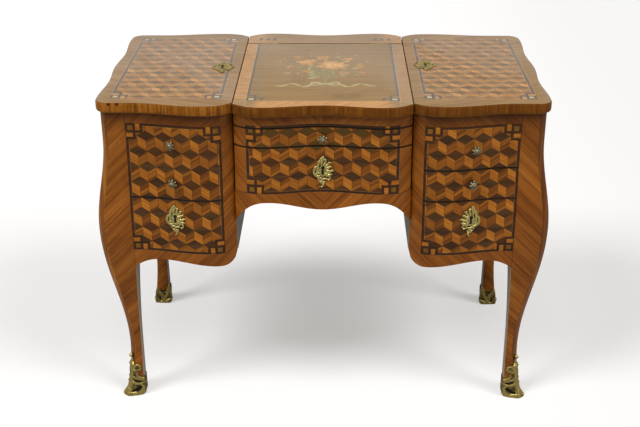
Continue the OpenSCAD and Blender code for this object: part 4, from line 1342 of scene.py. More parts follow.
    def board(
        self, outline: Points, name: str, finishes: Sequence[Material], hollow: bool = False
    ) -> bpy.types.Object:
        """A board of the top with rounded edges.

        Args:
            outline: Its outline.
            name: The piece's name.
            finishes: Its top, its edge band, its underside and its hidden edges.
            hollow: Whether its front edge is hollowed round the flap's axis.

        Returns:
            The piece.
        """
        base = C.case_top + C.lid_gap
        rings = []
        beside = np.abs(np.abs(outline[:, 0]) - C.seam) < self.seam_near
        tight = np.where(beside, 0.3, 1.0)
        for distance, z in self.profile:
            flat = self.inset(outline, distance * tight[:, None])
            if hollow:
                reach = math.sqrt(max(0.0, C.hollow_r**2 - (base + z - C.flap_axis_z) ** 2))
                flat[:, 1] = np.maximum(flat[:, 1], C.flap_axis_y + max(reach, C.leaf_gap))
            rings.append(np.column_stack([flat, np.full(len(flat), base + z)]))
        lengths = np.linalg.norm(np.roll(outline, -1, 0) - outline, axis=1)
        run = np.concatenate([[0.0], np.cumsum(lengths)[:-1]])
        shell = Shell()
        shell.grid(np.array(rings), 1, True, np.tile(run, (len(rings), 1)))
        at_hinge = np.abs(outline[:, 1] - C.flap_axis_y) < self.hinge_near
        at_seam = beside & np.roll(beside, -1) | at_hinge & np.roll(at_hinge, -1)
        shell.kinds = [
            (3 if i < len(rings) - self.crown else 0) if at_seam[j] else 1
            for i in range(len(rings) - 1) for j in range(len(outline))
        ]
        shell.polygon(rings[-1], 0)
        shell.polygon(rings[0], 2)
        return shell.build(name, finishes, 40)


# ---------------------------------------------------------------- fronts


@dataclass
class Fronts:
    """Drawer fronts, false fronts and the writing slide's front."""

    gap: float = 0.0005
    fit: float = 0.0001
    arris: float = 0.0016

    def dress(self) -> None:
        """Builds every front."""
        edge = Veneer("front_edges", angle=0.0, tones=EDGE_WOOD, seed=7, polish=Polish(0.6, 0.0)).build()
        oak = PlainWood("front_oak", OAK, 0).build()
        faces = {}
        for s, side in SIDES:
            area, joints = Field(s * 0.3215, 0.5525, 0.1035, 0.1495), (C.mid_z, C.high_z)
            faces[side] = CubeParquetry(
                f"cube_parquetry_{side}", area, origin=(s * 0.3235, 0.556), seed=s + 1, tall=1.05,
                joints=joints[:1] if s == LEFT else joints,
            ).build()
        faces["centre"] = CubeParquetry(
            "cube_parquetry_centre", Field(0.0, 0.6285, 0.164, 0.0775), origin=(0.005, 0.612),
            border_angle=45.0, seed=5, joints=(C.slide_top, C.slide_z), moss=0.632, end=C.seam, overhang_shade=0.3,
        ).build()
        g, fit = self.gap, self.fit
        a, b, half = C.panel_in + g, C.panel_out - g, C.seam - g
        rows = [
            (
                "false_front_left", "left", "carcase", -C.panel_out + fit, -C.panel_in - fit, C.mid_z,
                C.rail_z - fit
            ),
            (
                "false_front_right", "right", "carcase", C.panel_in + fit, C.panel_out - fit, C.high_z,
                C.rail_z - fit
            ),
            ("left_drawer_front", "left", "left_drawer", -b, -a, C.low_z + g, C.mid_z - g),
            ("middle_drawer_front", "right", "middle_drawer", a, b, C.mid_z + g, C.high_z - g),
            ("right_drawer_front", "right", "right_drawer", a, b, C.low_z + g, C.mid_z - g),
            ("slide_front", "centre", "writing_slide", -half, half, C.slide_z + g, C.slide_top - g),
            ("centre_drawer_front", "centre", "centre_drawer", -half, half, C.centre_z + g, C.slide_z - g),
        ]
        for node, side, body, x0, x1, z0, z1 in rows:
            finishes, name = [faces[side], edge, oak], f"{node}_veneer"
            # The rows round each front's rounded arrises take the dark edge wood: real edge wood, and painted
            # shadow in the gaps round the fronts.
            piece = front_panel((x0, x1), level(z0), z1, finishes, name, arris=self.arris, rim=2)
            wear(piece, body, "cube_parquetry", node)
        ends, finishes = (-C.seam + fit, C.seam - fit), [faces["centre"], edge]
        rail = front_panel(ends, level(C.slide_top), C.case_top, finishes, "centre_top_rail_veneer")
        wear(rail, "carcase", "carcase_veneer", "centre_top_rail")


# ---------------------------------------------------------------- chased mounts


@dataclass(frozen=True)
class Stroke:
    """One swelling line of a chased mount: its points and its half widths, in millimetres."""

    points: tuple[tuple[float, float], ...]
    widths: tuple[float, ...]

    def over(self, u: Points, v: Points) -> tuple[Points, Points]:
        """How far each point lies inside the line, and the line's round height there."""
        inside, height = np.full_like(u, -99.0), np.zeros_like(u)
        pts, wid = self.points, self.widths
        if len(pts) == 1:
            pts, wid = pts * 2, wid * 2
        for (a, b, r0, r1) in zip(pts, pts[1:], wid, wid[1:]):
            ax, ay = b[0] - a[0], b[1] - a[1]
            t = np.clip(((u - a[0]) * ax + (v - a[1]) * ay) / max(1e-9, ax * ax + ay * ay), 0, 1)
            d = np.hypot(u - a[0] - t * ax, v - a[1] - t * ay)
            r = r0 + (r1 - r0) * t
            inside = np.maximum(inside, r - d)
            height = np.maximum(height, np.sqrt(np.clip(r * r - d * d, 0, None)))
        return inside, height


def curl(
    cx: float, cy: float, r: float, start: float, end: float, w0: float, w1: float, tight: float = 0.45
) -> Stroke:
    """A scroll that winds from angle start to end and ends in a small eye."""
    n = 16
    angles = np.radians(np.linspace(start, end, n))
    radii = r * (1 - (1 - tight) * np.linspace(0, 1, n) ** 1.5)
    points = tuple((float(cx + q * math.cos(a)), float(cy + q * math.sin(a))) for a, q in zip(angles, radii))
    return Stroke(points, tuple(float(w) for w in np.linspace(w0, w1, n)))


@dataclass(frozen=True)
class Relief:
    """A pierced sheet of metal: its lines, its plate and its holes, in millimetres."""

    lines: tuple[Stroke, ...]
    ribs: tuple[Stroke, ...]
    holes: tuple[Stroke, ...]
    bosses: tuple[Stroke, ...] = ()
    plate: float = 0.8
    swell: float = 0.95

    def at(self, u: Points, v: Points) -> tuple[Points, Points]:
        """Inside distance and height at points of the sheet, in millimetres."""
        inside, height = np.full_like(u, -99.0), np.zeros_like(u)
        for line in self.lines:
            inside = np.maximum(inside, line.over(u, v)[0])
        for boss in self.bosses:
            i, _ = boss.over(u, v)
            height = np.maximum(height, np.clip(i / 1.6, 0, 1) * 1.15)
        for rib in self.ribs:
            i, h = rib.over(u, v)
            inside = np.maximum(inside, i)
            height = np.maximum(height, h)
        for hole in self.holes:
            i, _ = hole.over(u, v)
            inside = np.minimum(inside, -i)
        rim = np.clip(inside / 0.6, 0, 1)
        return inside, self.plate + self.swell * height * np.sqrt(rim * (2 - rim))


def cut_sheet(
    shell: Shell,
    us: Points,
    vs: Points,
    inside: Points,
    height: Points,
    place: Callable[[Points, Points, Points], Points],
    kind: int = 0,
) -> None:
    """Adds a sheet that is cut out where inside is above 0.

    Args:
        shell: Where its faces go.
        us: Columns of the sheet.
        vs: Rows of the sheet.
        inside: Inside distance at each crossing.
        height: Height of the front at each crossing.
        place: Puts points of the sheet, at a height, into the room.
        kind: The place of its finish.
    """
    keys: dict[tuple, int] = {}
    flat: list[tuple[float, float, float]] = []

    def node(i: int, j: int) -> int:
        """The point at one crossing."""
        key = (i, j)
        if key not in keys:
            keys[key] = len(flat)
            flat.append((us[i], vs[j], height[i, j]))
        return keys[key]

    def cross(a: tuple[int, int], b: tuple[int, int]) -> int:
        """The point where the outline crosses an edge."""
        a, b = min(a, b), max(a, b)
        if (a, b) not in keys:
            fa, fb = inside[a], inside[b]
            t = min(0.98, max(0.02, fa / (fa - fb)))
            keys[(a, b)] = len(flat)
            flat.append(tuple(
                p + (q - p) * t for p, q in
                ((us[a[0]], us[b[0]]), (vs[a[1]], vs[b[1]]), (height[a], height[b]))
            ))
        return keys[(a, b)]

    faces: list[list[int]] = []
    for i in range(len(us) - 1):
        for j in range(len(vs) - 1):
            corners = [(i, j), (i + 1, j), (i + 1, j + 1), (i, j + 1)]
            signs = [inside[c] > 0 for c in corners]
            if not any(signs):
                continue
            loop: list[int] = []
            for k in range(4):
                a, b = corners[k], corners[(k + 1) % 4]
                if signs[k]:
                    loop.append(node(*a))
                if signs[k] != signs[(k + 1) % 4]:
                    loop.append(cross(a, b))
            if len(loop) > 2:
                faces.append(loop)
    if not faces:
        return
    sheet = np.array(flat)
    front = place(sheet[:, 0], sheet[:, 1], sheet[:, 2])
    rear = place(sheet[:, 0], sheet[:, 1], 0 * sheet[:, 2])
    start = shell.add_points(front, list(sheet[:, 2] / 4))
    back = shell.add_points(rear)
    edges: dict[tuple[int, int], int] = {}
    for loop in faces:
        shell.faces.append([start + k for k in loop])
        shell.faces.append([back + k for k in reversed(loop)])
        shell.kinds.extend((kind, kind))
        for a, b in zip(loop, loop[1:] + loop[:1]):
            edges[(a, b)] = edges.get((a, b), 0) + 1
    for a, b in edges:
        if (b, a) not in edges:
            shell.faces.append([start + b, start + a, back + a, back + b])
            shell.kinds.append(kind)


CARTOUCHE = Relief(
    lines=(
        Stroke(((-5, -3), (-4, -15)), (12.0, 10.0)),
        Stroke(((4, 4), (5, -12)), (9.0, 10.5)),
        Stroke(((-1, 12), (-3, 17)), (8.0, 6.0)),
        Stroke(((-1, -22), (1, -31)), (8.5, 5.0)),
    ),
    ribs=(
        curl(-6.5, -7, 13.2, 105, 262, 2.4, 3.1, 0.92),
        curl(-8.5, -15.5, 5.0, 215, -20, 2.6, 1.6, 0.6),
        Stroke(((-11, 6), (-10, 13), (-5.5, 19), (-1.5, 25.5), (1, 28)), (2.9, 3.3, 3.3, 2.1, 1.0)),
        Stroke(((-4, 9), (-3, 15), (0.5, 21), (1, 26)), (2.4, 2.9, 2.4, 1.0)),
        Stroke(((2, 9), (5, 14), (5, 19), (2.5, 23)), (2.4, 2.7, 2.3, 1.0)),
        Stroke(((6, 6), (11, 10), (12.5, 14), (17, 14.5)), (2.6, 3.0, 2.4, 1.2)),
        Stroke(((8, 1), (13, 2.5), (16, 5.5), (19.5, 4.5)), (2.7, 3.1, 2.3, 1.1)),
        Stroke(((9, -4.5), (15, -6.5), (20, -3.5), (24.5, -4.5)), (2.7, 3.3, 2.5, 1.1)),
        Stroke(((7, -11), (13, -15), (18, -12.5), (21, -12)), (2.7, 3.1, 2.5, 1.4)),
        curl(12.5, -20.5, 5.0, 130, -160, 2.3, 1.6, 0.8),
        Stroke(((13.5, -26.5),), (2.0,)),
        curl(-4.6, -26.3, 4.4, 150, -120, 2.5, 1.8, 0.7),
        curl(4.4, -27.6, 4.0, 60, 300, 2.2, 1.6, 0.8),
        Stroke(((-3, -31), (2.5, -35), (3.5, -38), (0.5, -41)), (2.9, 2.7, 2.2, 1.6)),
        Stroke(((-0.5, -42.3),), (2.1,)),
        Stroke(
            ((-6, 0.5), (-7.5, -6), (-6, -13), (-1, -17.5), (4, -17), (7.5, -11), (7.5, -3), (5, 3.5),
             (0, 6.0), (-4, 4), (-6, 0.5)),
            (1.5,) * 11,
        ),
    ),
    holes=(
        Stroke(((0, 1.2),), (3.9,)),
        Stroke(((0, 0), (0, -12.2)), (1.9, 2.6)),
        Stroke(((-4.6, -26.3),), (1.5,)),
        Stroke(((4.4, -27.6),), (1.4,)),
        Stroke(((12.8, -20.5),), (1.8,)),
        Stroke(((12.3, 6.6),), (0.9,)),
    ),
    bosses=(
        Stroke(((0, 0.5), (0, -12.5)), (6.2, 6.6)),
        Stroke(((-11, 2), (-12, -10)), (3.5, 4.0)),
        Stroke(((9, 3), (10, -14)), (3.5, 4.5)),
    ),
    plate=1.1,
    swell=0.8,
)
SABOT = Relief(
    lines=(
        Stroke(
            ((0, 102), (0, 93), (1, 82), (3, 74), (5, 60), (6, 45), (8, 30), (8, 8)),
            (4.6, 4.0, 5.0, 8.0, 8.5, 9.5, 12.0, 12.0),
        ),
        Stroke(((6, 73), (16, 71.5)), (8.6, 8.4)),
        Stroke(((10, 56), (12, 48), (24, 44)), (6.0, 6.0, 4.0)),
    ),
    ribs=(
        Stroke(((0, 104),), (5.2,)),
        curl(0, 103, 5.0, 90, -90, 1.6, 1.2, 0.5),
        Stroke(
            ((0, 100), (0, 90), (0, 82), (1, 70), (2, 52), (3, 34), (2, 16)),
            (3.4, 2.8, 3.4, 2.4, 2.6, 3.0, 5.0)
        ),
        curl(14.5, 71.5, 8.2, 175, -120, 2.6, 1.7, 0.75),
        Stroke(((4, 84), (9, 80)), (3.0, 1.8)),
        Stroke(((5, 66), (10, 63), (16, 66)), (2.2, 2.4, 1.6)),
        curl(24.0, 55.5, 10.4, 165, 285, 2.0, 2.4, 1.0),
        Stroke(((7, 47), (12, 43), (20, 41), (27, 41), (31, 47)), (2.0, 2.5, 2.6, 2.4, 1.4)),
        Stroke(((6, 34), (13, 30), (21, 29), (28, 34)), (2.6, 2.7, 2.6, 1.8)),
        Stroke(((24, 26), (27, 18), (26, 8)), (2.4, 2.6, 2.4)),
        Stroke(((2, 16), (5, 8), (12, 3)), (5.5, 5.0, 3.5)),
        Stroke(((14, 6), (20, 3)), (3.8, 3.4)),
        Stroke(((24, 8), (31, 4)), (3.2, 2.8)),
        Stroke(((36, 30), (44, 22), (52, 14)), (2.4, 2.6, 2.4)),
    ),
    holes=(
        Stroke(((27.5, 57.5),), (9.6,)),
        Stroke(((10.5, 38.2), (21.5, 35)), (1.3, 1.6)),
        Stroke(((22, 21.5), (16.5, 14.5), (9.5, 11)), (2.7, 2.8, 1.2)),
        Stroke(((36, 40), (42, 34)), (1.8, 2.4)),
    ),
    plate=1.5,
    swell=0.75,
)
CUFF = Relief(
    lines=(Stroke(((0, 30), (0, 8)), (9.0, 14.0)),),
    ribs=(
        Stroke(((0, 40), (0, 22), (0, 8)), (3.0, 2.4, 5.0)),
        Stroke(((4, 30), (12, 24), (18, 14)), (2.4, 2.8, 2.4)),
        Stroke(((14, 38), (22, 30), (26, 16)), (2.2, 2.6, 2.2)),
        Stroke(((30, 38), (38, 28), (44, 14)), (2.2, 2.6, 2.2)),
        Stroke(((10, 5), (18, 3)), (3.4, 3.0)),
        Stroke(((60, 54), (58, 36), (52, 20), (46, 8)), (2.5, 3.6, 4.0, 4.4)),
        Stroke(((35, 42), (40, 30), (45, 22)), (2.0, 3.0, 2.4)),
        Stroke(((60, 10), (54, 5), (40, 4)), (4.0, 4.4, 3.6)),
    ),
    holes=(Stroke(((48, 30),), (1.7,)), Stroke(((37, 17),), (1.5,))),
)
KEYHOLE = Relief(lines=CARTOUCHE.holes[:2], ribs=(), holes=(), plate=0.0, swell=0.0)


@dataclass
class Mounts:
    """Escutcheons with their locks, knobs and sabots."""

    pitch: float = 0.62
    mount_x: float = 0.325
    seat: float = 0.0003
    rise: float = 0.004
    lock_w: float = 0.0229
    bolt_w: float = 0.0083
    knob_r: float = 0.0105
    knob_l: float = 0.0165
    lid_key_x: float = 0.236
    lid_scale: float = 1.12
    lid_lock_x: tuple[float, float] = (0.2107, 0.2539)
    lid_bolt_x: tuple[float, float] = (0.2100, 0.2330)
    lid_lock_z: tuple[float, float] = (0.7154, 0.7271)
    half_turn: float = 60.0
    sabot_high: tuple[float, float] = (119.0, 63.0)
    sabot_reach: tuple[float, float] = (0.0165, 0.0105)
    sabot_pitch: float = 1.15
    metal: dict[str, Material] = field(default_factory=dict, repr=False)

    def dress(self) -> None:
        """Builds every mount."""
        self.metal = built({
            "gilt": Metal(
                "gilt_bronze", (0.58, 0.465, 0.165), (0.052, 0.037, 0.008), 0.38, 420.0, 0.0002, True
            ),
            "steel": Metal("lock_case_steel", (0.36, 0.34, 0.31), (0.10, 0.08, 0.06), 0.42, 300, 0.0001),
            "brass": Metal(
                "aged_brass", (0.28, 0.240, 0.135), (0.024, 0.019, 0.009), 0.36, 420, 0.0002, True
            ),
            "bronze": Metal(
                "sabot_bronze", (0.395, 0.300, 0.092), (0.036, 0.026, 0.007), 0.41, 420.0, 0.0002, True
            ),
            "black": PlainWood("keyhole_shadow", SHADOW_WOOD, 2, 0.8),
        })
        self.drawer_lock("left_drawer", -self.mount_x, 0.488, 0.523, 1, 0.0)
        self.drawer_lock("right_drawer", self.mount_x, 0.488, 0.523, -1, 4.0)
        self.drawer_lock("centre_drawer", 0.0, 0.601, 0.6555, 1, -3.0)
        self.lid_lock(LEFT, 0.003)
        self.lid_lock(RIGHT, 0.021)
        self.knobs("false_front_knobs", "carcase", [(-0.3255, 0.6585), (-0.3245, 0.5715), (0.3270, 0.6490)])
        self.knobs("slide_knob", "writing_slide", [(0.0, 0.6740)])
        self.knobs("middle_drawer_knob", "middle_drawer", [(0.3240, 0.5700)])
        for s, side in SIDES:
            for f, end in ENDS:
                self.sabot(s, f, f"sabot_{end}_{side}")

    def cartouche(self, shell: Shell, place: Callable[[Points, Points, Points], Points]) -> None:
        """Adds the cartouche, with chased veins in its leaves, and a painted shadow in its keyhole."""
        us, vs = np.arange(-24, 27, self.pitch), np.arange(-46, 31, self.pitch)
        u, v = np.meshgrid(us, vs, indexing="ij")
        inside, height = CARTOUCHE.at(u, v)
        veins = 0.34 * np.sin(u * 1.9 + v * 1.2) * np.clip(inside - 0.5, 0, 1)
        cut_sheet(shell, us, vs, inside, height + veins, place)
        us, vs = np.arange(-4.4, 4.5, 0.55), np.arange(-16.5, 4.5, 0.55)
        u, v = np.meshgrid(us, vs, indexing="ij")
        inside, height = KEYHOLE.at(u, v)
        cut_sheet(shell, us, vs, inside, height + 0.25, place, 2)

    def plate(self, shell: Shell, low: Points, high: Points, chamfer: float) -> None:
        """Adds a steel plate with chamfered edges."""
        axis = int(np.argmin(high - low))
        across = [k for k in range(3) if k != axis]
        chamfer = min(chamfer, (high[axis] - low[axis]) / 3)
        rings = []
        for level, inset in ((low, chamfer), (low + chamfer, 0.0), (high - chamfer, 0.0), (high, chamfer)):
            ring = np.zeros((4, 3))
            ring[:, axis] = level[axis]
            for k, picks in zip(across, ((0, 1, 1, 0), (0, 0, 1, 1))):
                ring[:, k] = [high[k] - inset if pick else low[k] + inset for pick in picks]
            rings.append(ring)
        shell.grid(np.array(rings), 1, True)
        shell.polygon(rings[0], 1)
        shell.polygon(rings[-1], 1)

    def lock_case(
        self, shell: Shell, low: Points, high: Points, room: tuple[Points, Points], cap: int
    ) -> None:
        """Adds a lock case round the room of its bolt, with a raised cap.

        Args:
            shell: Where its faces go.
            low: Lowest corner of the case.
            high: Highest corner of the case.
            room: Lowest and highest corner of the bolt's room.
            cap: BACK for a cap on the high side of the thin axis, FRONT for the low side.
        """
        low, high = np.array(low, float), np.array(high, float)
        axis = int(np.argmin(high - low))
        lid_low, lid_high = low + 0.006, high - 0.006
        lid_low[axis] = high[axis] if cap == BACK else low[axis] - 0.0008
        lid_high[axis] = lid_low[axis] + 0.0008
        self.plate(shell, lid_low, lid_high, 0.0003)
        for k in range(3):
            for side, wall in enumerate(room):
                if (wall[k] > low[k]) if side == 0 else (wall[k] < high[k]):
                    a, b = low.copy(), high.copy()
                    (b if side == 0 else a)[k] = wall[k]
                    self.plate(shell, a, b, 0.0004)
                    (low if side == 0 else high)[k] = wall[k]

    def drawer_lock(self, body: str, x0: float, z0: float, top: float, flip: int, turn: float) -> None:
        """A drawer's escutcheon on the curved front, and the lock case behind it.

        Args:
            body: The drawer.
            x0: Place of the keyhole along X.
            z0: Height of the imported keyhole.
            top: Height of the drawer's rim.
            flip: -1 mirrors the cartouche.
            turn: Degrees that the cartouche leans.
        """
        c, s = math.cos(math.radians(turn)), math.sin(math.radians(turn))

        def place(u: Points, v: Points, h: Points) -> Points:
            """Puts points of the cartouche on the front."""
            x = x0 + flip * (u * c - v * s) * MM
            z = z0 + self.rise + (u * s + v * c) * MM
            slope_x, slope_z = C.slope(x, z, 0.0005)
            n = np.stack([-slope_x, 0 * x - 1, -slope_z], -1)
            n /= np.linalg.norm(n, axis=1)[:, None]
            skin = np.stack([x, -C.case_y(x, z), z], -1)
            return skin + n * (self.seat + h * MM)[:, None]

        shell = Shell()
        self.cartouche(shell, place)
        rear, w, bolt = -C.front_in, self.lock_w, self.bolt_w
        room = ((x0 - bolt, rear + 0.0033, top - 0.0222), (x0 + bolt, rear + 0.0087, top))
        low, high = (x0 - w, rear - 0.0019, z0 - 0.0179), (x0 + w, rear + 0.0099, top - 0.0001)
        self.lock_case(shell, low, high, room, BACK)
        self.wear_lock(shell, "gilt", body, f"{body}_lock")

    def wear_lock(self, shell: Shell, cast: str, body: str, node: str) -> None:
        """Puts an escutcheon of a cast metal, with its lock case, on its body."""
        finishes = [self.metal[name] for name in (cast, "steel", "black")]
        wear(shell.build(f"{node}_mount", finishes, 48), body, "gilt_bronze", node)

    def lid_lock(self, s: int, key_y: float) -> None:
        """A lid's escutcheon and the lock case under it."""
        side = "left" if s == LEFT else "right"
        x0 = s * self.lid_key_x
        large = self.lid_scale * MM

        def place(u: Points, v: Points, h: Points) -> Points:
            """Puts points of the cartouche on the lid."""
            return np.stack([x0 - s * u * large, key_y + v * large, C.height + 0.0001 + h * 0.72 * MM], -1)

        shell = Shell()
        self.cartouche(shell, place)
        low_x, high_x = sorted(s * x for x in self.lid_lock_x)
        bolt_low, bolt_high = sorted(s * x for x in self.lid_bolt_x)
        bolt_z = C.case_top + C.lid_gap - 0.006
        room = (
            (bolt_low, key_y - self.bolt_w, bolt_z - 0.0027),
            (bolt_high, key_y + self.bolt_w, bolt_z + 0.0027)
        )
        low_z, high_z = self.lid_lock_z
        low, high = (low_x, key_y - self.lock_w, low_z), (high_x, key_y + self.lock_w, high_z)
        self.lock_case(shell, low, high, room, FRONT)
        self.wear_lock(shell, "bronze", f"{side}_lid", f"lid_{side}_lock")

    def knobs(self, node: str, body: str, places: Sequence[tuple[float, float]]) -> None:
        """Foliate knobs: two rows of rounded petals round a bud, on a turned neck."""
        # share of the height, share of the radius, depth of the petals
        profile = [
            (0.0, 0.60, 0.0), (0.05, 0.60, 0.0), (0.10, 0.48, 0.0), (0.22, 0.30, 0.0), (0.36, 0.28, 0.0),
            (0.44, 0.42, 0.3), (0.49, 0.70, 0.8), (0.54, 0.92, 1.0), (0.60, 1.0, 1.0), (0.67, 0.95, 1.0),
            (0.72, 0.82, 0.9), (0.69, 0.70, 0.7), (0.74, 0.66, -0.6), (0.82, 0.60, -0.8), (0.86, 0.50, -0.7),
            (0.83, 0.40, -0.4), (0.88, 0.34, 0.0), (0.96, 0.28, 0.0), (1.0, 0.16, 0.0), (1.01, 0.03, 0.0),
        ]
        shell = Shell()
        theta = np.linspace(0, 2 * np.pi, 84, endpoint=False)
        for count, (x0, z0) in enumerate(places):
            yaw, tilt = C.slope(x0, z0, 0.001)
            out = np.array([-yaw, -1.0, -tilt])
            out = out / np.linalg.norm(out)
            across = np.cross(out, (0, 0, 1))
            across /= np.linalg.norm(across)
            up = np.cross(across, out)
            base = np.array([x0, -float(C.case_y(x0, z0)), z0]) + out * self.seat
            phase = 0.9 * count + x0 * 40
            rings, tones = [], []
            for share, r, leaf in profile:
                petal = np.abs(np.cos(3.5 * theta + phase + (0.45 if leaf < 0 else 0.0)))
                gap = 1 - 0.34 * abs(leaf) * (1 - petal) ** 2
                ragged = 1 + 0.07 * abs(leaf) * np.cos(2 * theta + 1.7 * phase)
                ragged = ragged + 0.04 * abs(leaf) * np.cos(21 * theta)
                radius = self.knob_r * r * gap * ragged
                lift = self.knob_l * (share - 0.10 * abs(leaf) * (1 - petal) ** 1.5)
                ring = base + np.outer(radius * np.cos(theta), across) + np.outer(radius * np.sin(theta), up)
                rings.append(ring + np.outer(lift, out))
                tones.append(np.clip(0.25 + share * 0.55 - 0.5 * abs(leaf) * (1 - petal), 0, 1))
            rings = np.array(rings)
            shell.grid(rings, 0, True, np.array(tones))
            shell.polygon(rings[0])
            shell.polygon(rings[-1])
        wear(shell.build(f"{node}_rosette", [self.metal["brass"]], 60), body, "aged_brass", node)

    def acanthus(self, f: int, u: Points, v: Points) -> tuple[Points, Points]:
        """Inside distance and height of a sabot's sheet, in millimetres.

        Args:
            f: FRONT or BACK.
            u: Share of the way round the leg, from -60 to 60.
            v: Height.

        Returns:
            Both at each point.
        """
        a = np.abs(u)
        if f == FRONT:
            relief, plate = SABOT, 0.9
            cuff_top = 44 + 3.5 * np.exp(-((a - 31) / 4) ** 2) - 4 * np.clip((a - 34) / 10, 0, 1)
        else:
            relief, plate = CUFF, 1.5
            cuff_top = 34 + 22 * np.exp(-((a - 60) / 6) ** 2) + 13 * np.exp(-((a - 31) / 5) ** 2)
        beads = 0.9 * np.exp(-((v - cuff_top + 2.4) / 1.8) ** 2), 0.9 * np.exp(-((v - 2) / 3.5) ** 2)
        height = plate + beads[0] + beads[1]
        height = height + 0.35 * np.sin(a * 0.55 + v * 0.32) * np.clip((40 - v) / 30, 0, 1)
        inside, leaf_height = relief.at(a, v)
        inside = np.maximum(cuff_top - v, inside)
        height = np.maximum(height, leaf_height)
        for hole in relief.holes:
            inside = np.minimum(inside, -hole.over(a, v)[0])
        veins = 0.3 * np.sin(v * 1.1 + a * 0.9) + 0.22 * np.sin(v * 1.9 - a * 1.3)
        height = height * np.sqrt(np.clip(inside / 1.2, 0.12, 1)) + veins * np.clip(inside / 3, 0, 1)
        return np.minimum(inside, self.half_turn - 0.4 - a + 99 * (v < 62)), height

    def leg_outline(self, f: int, z: float) -> tuple[Points, Points, Points]:
        """A leg's outline at a height: distance from its outer corner, points and outward normals."""
        corners = C.leg_corners(z, f)
        fine = []
        for p, q in zip(corners, np.roll(corners, -1, 0)):
            fine.extend(p + (q - p) * t for t in np.linspace(0, 1, 12, endpoint=False))
        fine = np.array(fine)
        smooth = np.roll((np.roll(fine, 1, 0) + 2 * fine + np.roll(fine, -1, 0)) / 4, -len(fine) // 2, 0)
        closed = np.concatenate([smooth, smooth[:1]])
        steps = np.concatenate([[0], np.cumsum(np.linalg.norm(np.diff(closed, axis=0), axis=1))])
        tangent = np.roll(smooth, -1, 0) - np.roll(smooth, 1, 0)
        normal = np.stack([tangent[:, 1], -tangent[:, 0]], -1)
        normal /= np.linalg.norm(normal, axis=1)[:, None]
        return steps, closed, np.concatenate([normal, normal[:1]])

    def sabot(self, s: int, f: int, node: str) -> None:
        """A pierced acanthus shoe that climbs the leg's outer corner; the back ones are plain cuffs."""
        half = self.half_turn
        us = np.linspace(-half, half, 132)
        high, reach = (pair[0 if f == FRONT else 1] for pair in (self.sabot_high, self.sabot_reach))
        vs = np.arange(0.0, high, self.sabot_pitch)
        inside, height = self.acanthus(f, *np.meshgrid(us, vs, indexing="ij"))
        rings: dict[float, tuple[Points, Points, Points]] = {}

        def place(p: Points, q: Points, h: Points) -> Points:
            """Wraps points of the sheet round the leg."""
            spots = np.zeros((len(p), 3))
            for k in range(len(p)):
                level_of = round(float(q[k]), 3)
                if level_of not in rings:
                    rings[level_of] = self.leg_outline(f, max(0.003, float(q[k]) * MM))
                steps, closed, normal = rings[level_of]
                run = steps[-1]
                at = (p[k] / (2 * half) * run) % run
                x, y = (np.interp(at, steps, closed[:, d]) for d in (0, 1))
                nx, ny = (np.interp(at, steps, normal[:, d]) for d in (0, 1))
                t = min(1.0, max(0.0, q[k] / 120.0))
                toe = reach * (1 - t) ** 6.5 * math.cos(min(1.0, abs(p[k]) / 33) * math.pi / 2) ** 1.2
                if abs(p[k]) < 9:
                    knop = 0.0045 * math.exp(-((q[k] - 104) / 5) ** 2)
                    toe += knop + 0.0026 * math.exp(-((q[k] - 81) / 3) ** 2)
                if h[k] == 0:
                    toe *= 0.75
                lift = 0.0002 + h[k] * MM
                spots[k] = (s * (x + nx * lift + toe * 0.9), f * (y + ny * lift + toe * 0.62), q[k] * MM)
            return spots

        shell = Shell()
        cut_sheet(shell, us, vs, inside, height, place)
        sole = place(us[:-1], 0 * us[:-1], 0 * us[:-1] + 0.2)
        rings_of_sole = np.stack([sole, sole])
        rings_of_sole[:, :, 2] = [[0.0001], [0.0029]]
        shell.grid(rings_of_sole, 0, True)
        for ring in rings_of_sole:
            shell.polygon(ring)
        wear(shell.build(f"{node}_acanthus", [self.metal["bronze"]], 55), "carcase", "gilt_bronze", node)


# ---------------------------------------------------------------- repeated shapes


